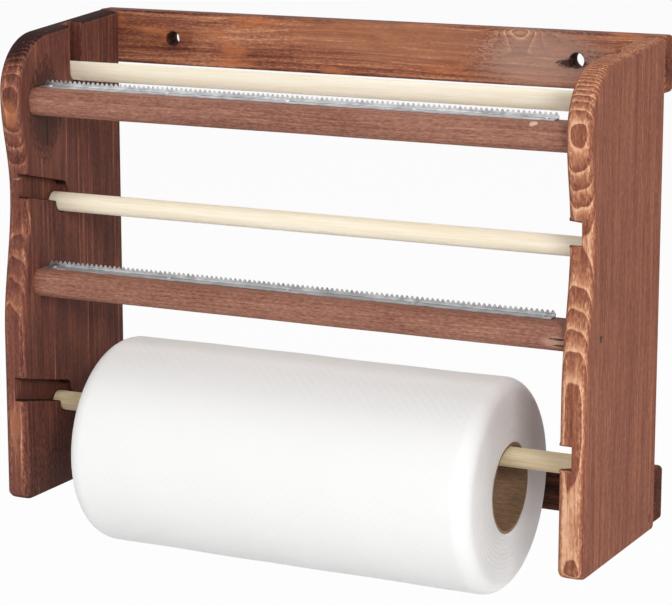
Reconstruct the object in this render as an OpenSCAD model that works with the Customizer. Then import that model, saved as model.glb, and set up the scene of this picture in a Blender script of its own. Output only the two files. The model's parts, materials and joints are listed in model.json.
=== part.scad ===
// Wall-hung holder for three kitchen rolls: two shaped side panels, two back rails,
// two cutter bars with serrated strips, three loose dowels and a paper roll on its core.
// The wall is the plane y = 0, the front faces -y, and the origin lies midway between the wall holes.

/* [Frame] */
// Width over both side panels
overall_w = 320; // [300:1:360]
// Thickness of a side panel
panel_t = 13; // [11:0.5:16]
// Depth of a side panel, from its front edge to the rails
panel_d = 98; // [92:1:115]
// Height of a side panel at its back edge
panel_h = 246; // [238:1:275]
// Thickness of a back rail
rail_t = 12; // [9:0.5:18]
// Height of a back rail
rail_h = 28; // [24:1:36]
// Height of the lower rail above the panels' feet
lower_rail_z = 2; // [0:0.5:8]

/* [Panel outline] */
// Radius of the front bottom corner
toe_r = 4; // [2:0.5:8]
// Height of the straight lower stretch of the front edge
straight_h = 88; // [80:1:100]
// Height of the waist above the feet
waist_z = 160; // [145:1:170]
// How far the waist lies behind the front edge
waist_in = 8; // [2:0.5:12]
// How far the brow lies behind the front edge
brow_in = 1.3; // [0:0.1:4]
// Radius of the rounded brow
crown_r = 30; // [22:1:34]
// Fall of the top edge towards the front, in degrees
top_fall = 4.3; // [2:0.1:7]

/* [Dowels and grooves] */
// Diameter of a dowel
dowel_d = 10; // [8:0.5:12]
// Chamfer on a dowel's ends
dowel_chamfer = 1; // [0.5:0.1:2]
// Play between a dowel's end and the groove's floor
dowel_end_gap = 0.6; // [0.3:0.1:1.5]
// Play around a dowel in its groove
groove_fit = 0.4; // [0.25:0.05:0.8]
// Depth of a groove in the panel's inner face
groove_depth = 6.5; // [5:0.5:9]
// Fall of a front groove towards the back, in degrees
groove_fall = 12.5; // [6:0.5:18]
// Drop of the pocket at the back end of a front groove
pocket_drop = 5.4; // [4:0.2:8]
// Height of the bottom dowel above the feet
bottom_seat_z = 45; // [42:1:52]
// Height of the middle dowel above the feet
middle_seat_z = 151.5; // [146:0.5:158]
// Drop of the top dowel below the panels' top
top_seat_drop = 28; // [22:1:31]
// Distance of the top dowel behind the front edge
top_seat_y = 55; // [46:1:64]

/* [Cutter bars] */
// Depth of a cutter bar, front to back
bar_d = 16; // [14:0.5:20]
// Height of a cutter bar
bar_h = 14; // [13:0.5:18]
// Radius of a bar's front edges
bar_front_r = 5; // [2:0.5:6]
// Radius of a bar's back edges
bar_back_r = 2; // [1:0.5:4]
// Distance of the bars behind the front edge
bar_in = 10; // [8.5:0.5:14]
// Height of the lower bar above the feet
lower_bar_z = 106; // [102:0.5:114]
// Drop of the upper bar's underside below the panels' top
upper_bar_drop = 46.5; // [43:0.5:52]

/* [Serrated strips] */
// Thickness of the sheet
strip_t = 0.5; // [0.4:0.1:1]
// Width of the flange that lies on the bar
flange_w = 6; // [5:0.5:8]
// Height of the toothed leg, to the tips
leg_h = 3.3; // [3:0.2:7]
// Spacing of the teeth
tooth_pitch = 2.7; // [2:0.1:4]
// Height of a tooth
tooth_h = 1.7; // [1:0.1:2]
// Gap between a strip and the left panel
strip_left_gap = 1; // [0.5:0.5:5]
// Gap between a strip and the right panel
strip_right_gap = 12; // [1:0.5:20]

/* [Paper roll] */
// Diameter of the paper roll
roll_d = 108; // [90:1:120]
// Length of the paper roll
roll_l = 222; // [200:1:240]
// Shift of the roll along its dowel, to the left
roll_shift = 4; // [0:1:20]
// Radius of the roll's end edges
roll_edge_r = 6; // [2:0.5:10]
// Inside diameter of the cardboard core
core_id = 42; // [36:0.5:50]
// Wall of the cardboard core
core_wall = 1.2; // [0.8:0.1:2]
// Play between the core and the paper
core_fit = 0.1; // [0.05:0.05:0.3]
// Play between the dowel and the core that hangs on it
hang_fit = 0.3; // [0.2:0.05:0.6]
// Room between the roll and the lower rail
roll_room = 5; // [2:0.5:10]

/* [Fasteners] */
// Diameter of a wall screw hole
wall_hole_d = 8; // [5:0.5:10]
// Spacing of the wall screw holes
wall_hole_pitch = 228; // [200:1:250]
// Diameter of a rail screw's shank
screw_d = 3.5; // [3:0.25:4]
// Diameter of a rail screw's head
screw_head_d = 7; // [6:0.25:8]
// Length of a rail screw
screw_l = 32; // [25:1:40]
// Spacing of the two screws in a joint
screw_pitch = 14; // [10:0.5:16]
// How deep a screw head lies below the rail's back
screw_sink = 0.4; // [0.2:0.1:1]
// Diameter of a bar nail
nail_d = 2; // [1.6:0.1:3]
// Diameter of a bar nail's head
nail_head_d = 3; // [2.6:0.1:4]
// Height of a bar nail's head
nail_head_h = 1.6; // [1:0.1:2.5]
// Length of a bar nail
nail_l = 40; // [30:1:50]
// Depth of the filler over a nail's head
filler_t = 1.5; // [0.8:0.1:2.5]
// Diameter of a tack's shank
tack_d = 1.2; // [0.8:0.1:1.6]
// Diameter of a tack's head
tack_head_d = 3; // [2.2:0.1:3.6]
// Height of a tack's head
tack_head_h = 0.7; // [0.4:0.1:1.2]
// Length of a tack below the strip
tack_l = 7; // [5:0.5:9]
// Number of tacks in a strip
tack_count = 5; // [3:1:8]
// Distance of the end tacks from a strip's ends
tack_end = 5; // [3:0.5:20]
// Play around a fastener's shank
pin_fit = 0.1; // [0.05:0.05:0.2]

/* [Hidden] */
$fn = 64;

stained_pine = [0.42, 0.21, 0.15];
bare_wood = [0.93, 0.86, 0.70];
zinc_steel = [0.74, 0.75, 0.77];
white_paper = [0.96, 0.96, 0.95];
brown_board = [0.50, 0.38, 0.29];
dark_filler = [0.24, 0.11, 0.08];

// Spare length of a cut past the face that it opens
past = 1;
// Points along one half wave of the front edge, and along an arc of the outline
wave_steps = 14;
arc_steps = 16;

inner_x = overall_w / 2 - panel_t;
panel_mid_x = overall_w / 2 - panel_t / 2;
top_rail_z = panel_h - rail_h;
wall_hole_z = top_rail_z + rail_h / 2;
upper_bar_z = panel_h - upper_bar_drop;
bar_mid_y = bar_in + bar_d / 2;

groove_w = dowel_d + 2 * groove_fit;
dowel_l = 2 * (inner_x + groove_depth - dowel_end_gap);
seat_y = panel_d - roll_room - roll_d / 2;
top_seat_z = panel_h - top_seat_drop;
groove_run = seat_y / cos(groove_fall) + groove_w;
roll_z = bottom_seat_z + dowel_d / 2 + hang_fit - core_id / 2;
core_od = core_id + 2 * core_wall;

crown_y = brow_in + crown_r;
crown_z = panel_h - (panel_d - crown_y) * tan(top_fall) - crown_r / cos(top_fall);

strip_x0 = -inner_x + strip_left_gap;
strip_l = 2 * inner_x - strip_left_gap - strip_right_gap;
strip_back_y = bar_in + bar_d - bar_back_r;
tack_y = strip_back_y - strip_t - (flange_w - strip_t) / 2;
tooth_count = floor(strip_l / tooth_pitch);

nail_seat_x = overall_w / 2 - filler_t;
head_cone_h = (screw_head_d - screw_d) / 2;

// Half a cosine wave from one (depth, height) point of the front edge to the next
function half_wave(from, to) = [for (i = [0 : wave_steps])
    let (s = i / wave_steps)
    [from[0] + (to[0] - from[0]) * (1 - cos(180 * s)) / 2, from[1] + (to[1] - from[1]) * s]];

// Points on an arc between two angles
function arc_points(centre, r, a0, a1) = [for (i = [0 : arc_steps])
    let (a = a0 + (a1 - a0) * i / arc_steps)
    [centre[0] + r * cos(a), centre[1] + r * sin(a)]];

// Outline of a side panel, seen from the right: depth behind the front edge, height above the feet
panel_outline = concat(
    [[panel_d, 0]],
    arc_points([toe_r, toe_r], toe_r, 270, 180),
    half_wave([0, straight_h], [waist_in, waist_z]),
    half_wave([waist_in, waist_z], [brow_in, crown_z]),
    arc_points([crown_y, crown_z], crown_r, 180, 90 + top_fall),
    [[panel_d, panel_h]]);

// Sets a child that is measured from the front edge and the feet into the wall frame
module from_feet() {
    translate([0, -panel_d - rail_t, -wall_hole_z]) children();
}

// Stands a flat (depth, height) shape up and gives it a width along x
module side_extrude(x0, w) {
    translate([x0, 0, 0]) rotate([90, 0, 90]) linear_extrude(w) children();
}

// A rod along x
module rod_x(x0, l, d) {
    translate([x0, 0, 0]) rotate([0, 90, 0]) cylinder(h = l, d = d);
}

// Front groove: a sloping channel, with a pocket under its back end
module front_groove(seat_z) {
    translate([seat_y, seat_z]) {
        circle(d = groove_w);
        translate([-groove_w / 2, 0]) square([groove_w, pocket_drop]);
        translate([0, pocket_drop]) {
            circle(d = groove_w);
            rotate(180 - groove_fall) translate([0, -groove_w / 2]) square([groove_run, groove_w]);
        }
    }
}

// Top groove: a straight slot, open at the panel's top edge
module top_groove() {
    translate([top_seat_y, top_seat_z]) {
        circle(d = groove_w);
        translate([-groove_w / 2, 0]) square([groove_w, top_seat_drop + past]);
    }
}

// One screw along -y from the rail's back face, with a crossed recess in its head
module rail_screw(fit) {
    recess_w = screw_d / 4;
    recess_l = screw_head_d * 0.6;
    difference() {
        rotate([90, 0, 0]) union() {
            cylinder(h = screw_l, d = screw_d + 2 * fit);
            cylinder(h = head_cone_h, d1 = screw_head_d + 2 * fit, d2 = screw_d + 2 * fit);
            if (fit > 0) translate([0, 0, -past]) cylinder(h = past, d = screw_head_d + 2 * fit);
        }
        if (fit == 0) for (turn = [0, 90]) rotate([0, turn, 0])
            cube([recess_l, head_cone_h * 1.4, recess_w], center = true);
    }
}

// The four screws that hold one rail, two in each panel
module rail_screws(rail_z, fit) {
    for (x = [-panel_mid_x, panel_mid_x], up = [-0.5, 0.5])
        translate([x, panel_d + rail_t - screw_sink, rail_z + rail_h / 2 + up * screw_pitch])
            rail_screw(fit);
}

// One bar nail in the right panel, with its head under the filler
module bar_nail(bar_z, fit) {
    translate([0, bar_mid_y, bar_z + bar_h / 2]) {
        rod_x(nail_seat_x - nail_l, nail_l, nail_d + 2 * fit);
        rod_x(nail_seat_x - nail_head_h, nail_head_h, nail_head_d + 2 * fit);
    }
}

// Hole of a bar nail and of the filler over its head
module bar_nail_hole(bar_z) {
    bar_nail(bar_z, pin_fit);
    translate([0, bar_mid_y, bar_z + bar_h / 2])
        rod_x(nail_seat_x - nail_head_h, nail_head_h + filler_t + past, nail_head_d + 2 * pin_fit);
}

module right_panel_solid() {
    difference() {
        side_extrude(inner_x, panel_t) polygon(panel_outline);
        side_extrude(inner_x - past, groove_depth + past) {
            front_groove(bottom_seat_z);
            front_groove(middle_seat_z);
            top_groove();
        }
        rail_screws(top_rail_z, pin_fit);
        rail_screws(lower_rail_z, pin_fit);
        bar_nail_hole(lower_bar_z);
        bar_nail_hole(upper_bar_z);
    }
}

module back_rail(rail_z) {
    difference() {
        translate([-overall_w / 2, panel_d, rail_z]) cube([overall_w, rail_t, rail_h]);
        rail_screws(rail_z, pin_fit);
    }
}

// Section of a cutter bar: well rounded in front, eased at the back
module bar_section() {
    translate([bar_front_r, 0]) square([bar_d - bar_front_r - bar_back_r, bar_h]);
    translate([0, bar_front_r]) square([bar_d / 2, bar_h - 2 * bar_front_r]);
    translate([bar_d / 2, bar_back_r]) square([bar_d / 2, bar_h - 2 * bar_back_r]);
    for (z = [bar_front_r, bar_h - bar_front_r]) translate([bar_front_r, z]) circle(r = bar_front_r);
    for (z = [bar_back_r, bar_h - bar_back_r]) translate([bar_d - bar_back_r, z]) circle(r = bar_back_r);
}

module cutter_bar(bar_z) {
    difference() {
        side_extrude(-inner_x, 2 * inner_x) translate([bar_in, bar_z]) bar_section();
        bar_nail(bar_z, pin_fit);
        mirror([1, 0, 0]) bar_nail(bar_z, pin_fit);
        tacks(bar_z, pin_fit);
    }
}

// Toothed leg of a strip, seen from the front
module toothed_leg() {
    root = leg_h - tooth_h;
    spare = (strip_l - tooth_count * tooth_pitch) / 2;
    polygon(concat(
        [[strip_l, 0], [0, 0], [0, root]],
        [for (i = [0 : tooth_count - 1], end = [0, 0.5])
            [spare + (i + end) * tooth_pitch, root + (end > 0 ? tooth_h : 0)]],
        [[strip_l - spare, root], [strip_l, root]]));
}

module serrated_strip(bar_z) {
    difference() {
        translate([strip_x0, strip_back_y, bar_z + bar_h]) {
            rotate([90, 0, 0]) linear_extrude(strip_t) toothed_leg();
            translate([0, -flange_w, 0]) cube([strip_l, flange_w, strip_t]);
        }
        tacks(bar_z, pin_fit);
    }
}

// Tacks through a strip's flange into the bar, with domed heads
module tacks(bar_z, fit) {
    step = (strip_l - 2 * tack_end) / (tack_count - 1);
    dome_r = (pow(tack_head_d / 2, 2) + pow(tack_head_h, 2)) / (2 * tack_head_h);
    for (i = [0 : tack_count - 1])
        translate([strip_x0 + tack_end + i * step, tack_y, bar_z + bar_h + strip_t]) {
            translate([0, 0, -strip_t - tack_l])
                cylinder(h = strip_t + tack_l + (fit > 0 ? past : 0), d = tack_d + 2 * fit);
            if (fit == 0) intersection() {
                translate([0, 0, tack_head_h - dome_r]) sphere(r = dome_r);
                cylinder(h = tack_head_h, d = tack_head_d);
            }
        }
}

// A dowel along x with chamfered ends
module dowel(y, z) {
    tip_d = dowel_d - 2 * dowel_chamfer;
    translate([-dowel_l / 2, y, z]) rotate([0, 90, 0]) rotate_extrude()
        polygon([[0, 0], [tip_d / 2, 0], [dowel_d / 2, dowel_chamfer],
            [dowel_d / 2, dowel_l - dowel_chamfer], [tip_d / 2, dowel_l], [0, dowel_l]]);
}

// Sets a turned shape on the paper roll's axis
module on_roll_axis() {
    translate([-roll_shift - roll_l / 2, seat_y, roll_z]) rotate([0, 90, 0]) rotate_extrude() children();
}

module paper_section() {
    bore_r = core_od / 2 + core_fit;
    translate([bore_r, 0]) square([roll_d / 2 - roll_edge_r - bore_r, roll_l]);
    translate([bore_r, roll_edge_r]) square([roll_d / 2 - bore_r, roll_l - 2 * roll_edge_r]);
    for (z = [roll_edge_r, roll_l - roll_edge_r])
        translate([roll_d / 2 - roll_edge_r, z]) circle(r = roll_edge_r);
}

module nail_fillers() {
    for (z = [lower_bar_z, upper_bar_z])
        translate([0, bar_mid_y, z + bar_h / 2]) rod_x(nail_seat_x, filler_t, nail_head_d);
}

module left_side_panel() { color(stained_pine) from_feet() mirror([1, 0, 0]) right_panel_solid(); }
module right_side_panel() { color(stained_pine) from_feet() right_panel_solid(); }
module top_back_rail() {
    color(stained_pine) from_feet() difference() {
        back_rail(top_rail_z);
        for (x = [-wall_hole_pitch / 2, wall_hole_pitch / 2])
            translate([x, panel_d - past, wall_hole_z]) rotate([-90, 0, 0])
                cylinder(h = rail_t + 2 * past, d = wall_hole_d);
    }
}
module lower_back_rail() { color(stained_pine) from_feet() back_rail(lower_rail_z); }
module upper_cutter_bar() { color(stained_pine) from_feet() cutter_bar(upper_bar_z); }
module lower_cutter_bar() { color(stained_pine) from_feet() cutter_bar(lower_bar_z); }
module upper_serrated_strip() { color(zinc_steel) from_feet() serrated_strip(upper_bar_z); }
module lower_serrated_strip() { color(zinc_steel) from_feet() serrated_strip(lower_bar_z); }
module upper_strip_tacks() { color(zinc_steel) from_feet() tacks(upper_bar_z, 0); }
module lower_strip_tacks() { color(zinc_steel) from_feet() tacks(lower_bar_z, 0); }
module top_dowel() { color(bare_wood) from_feet() dowel(top_seat_y, top_seat_z); }
module middle_dowel() { color(bare_wood) from_feet() dowel(seat_y, middle_seat_z); }
module bottom_dowel() { color(bare_wood) from_feet() dowel(seat_y, bottom_seat_z); }
module paper_roll() { color(white_paper) from_feet() on_roll_axis() paper_section(); }
module cardboard_core() {
    color(brown_board) from_feet() on_roll_axis()
        translate([core_id / 2, 0]) square([core_wall, roll_l]);
}
module top_rail_screws() { color(zinc_steel) from_feet() rail_screws(top_rail_z, 0); }
module lower_rail_screws() { color(zinc_steel) from_feet() rail_screws(lower_rail_z, 0); }
module upper_bar_nails() {
    color(zinc_steel) from_feet() for (side = [0, 1]) mirror([side, 0, 0]) bar_nail(upper_bar_z, 0);
}
module lower_bar_nails() {
    color(zinc_steel) from_feet() for (side = [0, 1]) mirror([side, 0, 0]) bar_nail(lower_bar_z, 0);
}
module left_nail_fillers() { color(dark_filler) from_feet() mirror([1, 0, 0]) nail_fillers(); }
module right_nail_fillers() { color(dark_filler) from_feet() nail_fillers(); }

left_side_panel();
right_side_panel();
top_back_rail();
lower_back_rail();
upper_cutter_bar();
lower_cutter_bar();
upper_serrated_strip();
lower_serrated_strip();
upper_strip_tacks();
lower_strip_tacks();
top_dowel();
middle_dowel();
bottom_dowel();
paper_roll();
cardboard_core();
top_rail_screws();
lower_rail_screws();
upper_bar_nails();
lower_bar_nails();
left_nail_fillers();
right_nail_fillers();
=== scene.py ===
"""Looks of a wall-hung wooden holder for three kitchen rolls, dressed around its solids.

Meshes are worked out in metres in the frame of the solids: x runs along the rails to the right, y into
the wall and z up, with the origin midway between the wall holes. Finishes measure in millimetres.
"""

import json
import logging
import math
from dataclasses import dataclass
from enum import Enum

import bpy
import numpy as np
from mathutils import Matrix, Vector
from mathutils.geometry import delaunay_2d_cdt


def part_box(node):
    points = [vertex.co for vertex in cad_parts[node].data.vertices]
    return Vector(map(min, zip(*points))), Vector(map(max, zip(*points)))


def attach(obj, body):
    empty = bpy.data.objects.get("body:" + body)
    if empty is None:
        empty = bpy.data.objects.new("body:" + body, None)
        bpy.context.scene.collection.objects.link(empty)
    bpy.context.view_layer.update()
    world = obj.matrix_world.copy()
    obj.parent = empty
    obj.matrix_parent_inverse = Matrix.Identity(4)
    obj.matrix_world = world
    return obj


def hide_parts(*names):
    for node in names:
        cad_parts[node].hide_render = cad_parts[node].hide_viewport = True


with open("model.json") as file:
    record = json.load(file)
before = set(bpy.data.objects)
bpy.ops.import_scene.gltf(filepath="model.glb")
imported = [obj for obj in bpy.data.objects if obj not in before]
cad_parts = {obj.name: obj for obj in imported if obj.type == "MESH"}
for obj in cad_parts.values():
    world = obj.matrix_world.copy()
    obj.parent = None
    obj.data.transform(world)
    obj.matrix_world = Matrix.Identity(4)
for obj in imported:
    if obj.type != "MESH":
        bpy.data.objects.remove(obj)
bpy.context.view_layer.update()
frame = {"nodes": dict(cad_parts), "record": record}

MM = 0.001
FULL_TURN = 2.0 * math.pi
# Points of a path that are nearer than this are one
SAME_POINT = 1e-9
# Grid on which points of neighbouring patches are welded
WELD = 2e-7
# Points round the quarter ellipse of a board's rim
RIM_POINTS = 9
LOG = logging.getLogger("roll_holder")

Array = np.ndarray
Pair = tuple[float, float]
Triple = tuple[float, float, float]
Colour = tuple[float, float, float]


def srgb(red: int, green: int, blue: int) -> Colour:
    """Turns a screen colour of 0 to 255 per channel into a linear one by the standard screen curve."""
    return tuple(c / 12.92 if c <= 0.04045 else ((c + 0.055) / 1.055) ** 2.4
                 for c in (red / 255, green / 255, blue / 255))


def unit(vectors: Array) -> Array:
    """Scales vectors along the last axis to length one."""
    return vectors / np.maximum(np.linalg.norm(vectors, axis=-1, keepdims=True), 1e-12)


def axis_vector(axis: int, way: float = 1.0) -> Array:
    """Unit vector along an axis, or against it where way is -1."""
    return way * np.eye(3)[axis]


def smoothstep(low: float, high: float, value: Array) -> Array:
    """Rises from 0 at low to 1 at high along 3t^2 - 2t^3."""
    t = np.clip((value - low) / (high - low), 0.0, 1.0)
    return t * t * (3.0 - 2.0 * t)


def turns(sides: int) -> Array:
    """Evenly spaced angles round a full turn, which they leave open by one step."""
    return np.arange(sides) * FULL_TURN / sides


def sweep(degrees: float, points: int) -> tuple[Array, Array]:
    """Cosine and sine of evenly spaced angles from 0."""
    angle = np.radians(np.linspace(0.0, degrees, points))
    return np.cos(angle), np.sin(angle)


# Flat paths


class Lie(Enum):
    """Axes that a flat outline and its thickness take: across, up and through."""

    SIDEWAYS = (1, 2, 0)
    ON_WALL = (0, 2, 1)

    def place(self, across: Array, up: Array, through: Array | float) -> Array:
        """Sets outline coordinates and depths into points of the frame."""
        values = np.broadcast_arrays(across, up, through)
        return np.stack([values[self.value.index(axis)] for axis in range(3)], -1)


def distinct(path: Array) -> Array:
    """Drops points of a flat path that repeat the one before."""
    gaps = np.linalg.norm(np.diff(path, axis=0), axis=1)
    return path[np.concatenate([[True], gaps > SAME_POINT])]


def arc(centre: Pair, radius: float, start: float, end: float, steps: int) -> Array:
    """Points on a flat arc between two angles in degrees."""
    angle = np.radians(np.linspace(start, end, steps + 1))
    return np.stack([centre[0] + radius * np.cos(angle), centre[1] + radius * np.sin(angle)], 1)


def half_wave(start: Pair, end: Pair, steps: int = 36) -> Array:
    """Half a cosine wave: the first coordinate eases from start to end while the second grows evenly.

    Args:
        start: First point.
        end: Last point.
        steps: Steps between them.

    Returns:
        The points in order.
    """
    share = np.linspace(0.0, 1.0, steps + 1)
    ease = (1.0 - np.cos(math.pi * share)) / 2.0
    return np.stack([start[0] + (end[0] - start[0]) * ease, start[1] + (end[1] - start[1]) * share], 1)


def fillet(corners: Array, radii: list[float], closed: bool = True, step_deg: float = 11.0) -> Array:
    """Rounds the corners of a flat path.

    Each corner gives way to an arc that touches both sides at radius / tan(half the corner's angle).

    Args:
        corners: The path's corners.
        radii: One radius for each corner, 0 for a corner that stays.
        closed: Whether the path runs back to its first corner.
        step_deg: Largest turn between two points of an arc.

    Returns:
        The rounded path.
    """
    stretches = []
    for i, (corner, radius) in enumerate(zip(corners, radii)):
        if radius <= 0.0 or (not closed and i in (0, len(corners) - 1)):
            stretches.append(corner[None])
            continue
        back = unit(corners[i - 1] - corner)
        ahead = unit(corners[(i + 1) % len(corners)] - corner)
        half = 0.5 * math.acos(float(np.clip(back @ ahead, -1.0, 1.0)))
        centre = corner + unit(back + ahead) * radius / math.sin(half)
        first = corner + back * radius / math.tan(half) - centre
        last = corner + ahead * radius / math.tan(half) - centre
        turn = (math.pi - 2.0 * half) * np.sign(first[0] * last[1] - first[1] * last[0])
        steps = max(2, math.ceil(abs(math.degrees(turn)) / step_deg))
        cos, sin = sweep(math.degrees(turn), steps + 1)
        round_corner = np.stack([first[0] * cos - first[1] * sin, first[0] * sin + first[1] * cos], 1)
        stretches.append(centre + round_corner)
    return distinct(np.concatenate(stretches))


def densify(path: Array, step: float) -> Array:
    """Adds points to the long straight stretches of an open path, about a step apart.

    A new point that would lie within 0.45 of a step from one of the path's own is left out.

    Args:
        path: The path.
        step: Distance between points.

    Returns:
        The path with its own points and the new ones.
    """
    length = np.concatenate([[0.0], np.cumsum(np.linalg.norm(np.diff(path, axis=0), axis=1))])
    extra = np.linspace(0.0, length[-1], max(2, round(length[-1] / step)) + 1)
    after = np.clip(np.searchsorted(length, extra), 1, len(length) - 1)
    room = np.minimum(np.abs(extra - length[after - 1]), np.abs(extra - length[after]))
    at = np.sort(np.concatenate([length, extra[room > 0.45 * step]]))
    return np.stack([np.interp(at, length, path[:, 0]), np.interp(at, length, path[:, 1])], 1)


def rounded_rectangle(low: Array, high: Array, radii: list[float], step: float) -> Array:
    """A closed path round a rectangle with rounded corners.

    Args:
        low: Lower left corner.
        high: Upper right corner.
        radii: Radii of the corners, from the lower left one upwards and round.
        step: Distance between points on the straight sides.

    Returns:
        The path.
    """
    path = fillet(np.array([low, [low[0], high[1]], high, [high[0], low[1]]]), radii)
    return densify(np.concatenate([path, path[:1]]), step)[:-1]


def outward(path: Array) -> Array:
    """Outward normals of a closed flat path, halfway between those of the two sides at each point.

    Args:
        path: The path.

    Returns:
        A unit normal for each point.
    """
    following = np.roll(path, -1, 0)
    ahead = unit(following - path)
    tangent = unit(ahead + np.roll(ahead, 1, 0))
    turn = np.sign(np.sum(path[:, 0] * following[:, 1] - path[:, 1] * following[:, 0]))
    return turn * np.stack([tangent[:, 1], -tangent[:, 0]], 1)


def crossing(path: Array, point: Array, direction: Array) -> tuple[int, Array]:
    """First place where an open path crosses a straight line.

    Args:
        path: The path.
        point: A point on the line.
        direction: The line's direction.

    Returns:
        The index of the path's point before the crossing, and the crossing.
    """
    off = direction[0] * (path[:, 1] - point[1]) - direction[1] * (path[:, 0] - point[0])
    i = int(np.nonzero(off[:-1] * off[1:] < 0.0)[0][0])
    return i, path[i] + (path[i + 1] - path[i]) * off[i] / (off[i] - off[i + 1])


# Surfaces


class Wrap(Enum):
    """Whether the last row, and the last column, of a grid of points join the first."""

    NONE = (False, False)
    ROWS = (True, False)
    COLUMNS = (False, True)
    BOTH = (True, True)


@dataclass
class Patch:
    """A stretch of surface with a normal, a share of edge and a share of wear and painted light at each
    point.
    """

    points: Array
    faces: Array
    normals: Array
    edge: Array
    wear_and_shading: Array

    @classmethod
    def grid(cls, points: Array, normals: Array, wrap: Wrap, edge: Array | float = 0.0,
             wear_and_shading: Array | float = 0.0) -> "Patch":
        """Spans quads over a grid of points and turns them to face along the normals.

        Args:
            points: Points by row and column.
            normals: Outward normals by row and column.
            wrap: Which ends of the grid join.
            edge: How far each point belongs to a board's edge rather than its face.
            wear_and_shading: At each point, wear with a painted highlight on rims, and painted shade in
                dimples.

        Returns:
            The patch.
        """
        rows, columns = points.shape[:2]
        row = np.arange(rows if wrap.value[0] else rows - 1)[:, None]
        column = np.arange(columns if wrap.value[1] else columns - 1)[None, :]
        below, right = (row + 1) % rows, (column + 1) % columns
        quads = np.stack([row * columns + column, row * columns + right,
                          below * columns + right, below * columns + column], -1).reshape(-1, 4)
        flat, facing = points.reshape(-1, 3), normals.reshape(-1, 3)
        turn = np.cross(flat[quads[:, 2]] - flat[quads[:, 0]], flat[quads[:, 3]] - flat[quads[:, 1]])
        if np.sum(turn * facing[quads[:, 0]]) < 0.0:
            quads = quads[:, ::-1]
        spread = np.zeros((rows, columns))
        return cls(flat, quads, facing, (spread + edge).ravel(), (spread + wear_and_shading).ravel())

    @classmethod
    def cap(cls, outline: Array, normal: Array, holes: tuple[Array, ...] = ()) -> "Patch":
        """Fills a closed flat outline with triangles and leaves its round holes open.

        Args:
            outline: Points round the face, square to one axis.
            normal: Outward normal, along that axis.
            holes: Points round each hole.

        Returns:
            The patch.
        """
        inside_only, merge = 1, 1e-7
        loops = [outline, *holes]
        points = np.concatenate(loops)
        flat = np.delete(points, int(np.argmax(np.abs(normal))), 1) / MM
        owner = np.repeat(np.arange(len(loops)), [len(loop) for loop in loops])
        here = np.arange(len(points))
        following = np.concatenate([np.roll(here[owner == i], -1) for i in range(len(loops))])
        sides = np.stack([here, following], 1).tolist()
        corners, _, faces, origin, _, _ = delaunay_2d_cdt(flat.tolist(), sides, [], inside_only, merge)
        if len(corners) != len(points):
            raise ValueError("the outline of a flat face crosses itself")
        triangles = np.ravel(origin)[np.array(faces)]
        owners = owner[triangles]
        triangles = triangles[(owners[:, 0] == 0) | np.any(owners != owners[:, :1], axis=1)]
        first, second, third = (points[triangles[:, i]] for i in range(3))
        if np.sum(np.cross(second - first, third - first) @ normal) < 0.0:
            triangles = triangles[:, ::-1]
        none = np.zeros(len(points))
        return cls(points, triangles, np.tile(normal, (len(points), 1)), none, none)


def end_caps(points: Array, axis: int = 0, way: float = 1.0) -> list[Patch]:
    """Closes the first and the last row of a tube that runs along an axis, or against it where way is -1."""
    return [Patch.cap(points[0], axis_vector(axis, -way)), Patch.cap(points[-1], axis_vector(axis, way))]


def grid_normals(points: Array, outwards: Array, wrap: Wrap) -> Array:
    """Normals of a grid of points, from the cross product of its two central differences.

    Args:
        points: Points by row and column.
        outwards: Rough outward directions, which settle the sign.
        wrap: Which ends of the grid join.

    Returns:
        Unit normals by row and column.
    """
    along = [np.roll(points, -1, axis) - np.roll(points, 1, axis) if wrap.value[axis]
             else np.gradient(points, axis=axis) for axis in (0, 1)]
    normals = unit(np.cross(along[0], along[1]))
    return normals if np.sum(normals * outwards) > 0.0 else -normals


def there_and_back(near: Array, rows: int) -> Array:
    """Carries half a profile of (station, radius) points straight on to its own mirror image.

    Args:
        near: The half before the middle, up to where the straight run begins.
        rows: Points on the straight run, with its two ends.

    Returns:
        The whole profile.
    """
    start, radius = near[-1]
    run = np.linspace(start, -start, rows)[1:-1]
    return np.concatenate([near, np.stack([run, np.full(len(run), radius)], 1), near[::-1] * [-1.0, 1.0]])


def turned(axis: int, centre: Array, along: Array, radius: Array, sides: int) -> tuple[Array, Array]:
    """Carries a profile round an axis.

    Args:
        axis: The axis that the piece is turned on.
        centre: A point on that axis. Its coordinate along the axis is added to the stations.
        along: Stations along the axis, as a column or by row and side.
        radius: Radius at each station, as a column or by row and side.
        sides: Points round the axis.

    Returns:
        Points, and directions away from the axis, by row and side.
    """
    angle = turns(sides)[:, None]
    spoke = np.cos(angle) * axis_vector((axis + 1) % 3) + np.sin(angle) * axis_vector((axis + 2) % 3)
    points = centre + np.broadcast_to(radius, (len(radius), sides))[..., None] * spoke
    points[..., axis] += along
    return points, np.broadcast_to(spoke, points.shape)


def turned_patches(axis: int, centre: Array, profile: Array, sides: int,
                   sharp: tuple[int, ...]) -> list[Patch]:
    """Turned surfaces from a profile of (station, radius) points, split where it has sharp corners.

    Args:
        axis: The axis that the piece is turned on.
        centre: A point on that axis.
        profile: Stations and radii in order, with the outside on the left of the way along it.
        sides: Points round the axis.
        sharp: Indices of the profile's sharp corners.

    Returns:
        One patch for each smooth stretch.
    """
    patches = []
    for first, last in zip((0, *sharp), (*sharp, len(profile) - 1)):
        stretch = profile[first:last + 1]
        slope = np.gradient(stretch, axis=0)
        points, spoke = turned(axis, centre, stretch[:, :1], stretch[:, 1:], sides)
        normals = spoke * slope[:, :1, None]
        normals[..., axis] -= slope[:, 1:]
        patches.append(Patch.grid(points, unit(normals), Wrap.COLUMNS))
    return patches


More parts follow.
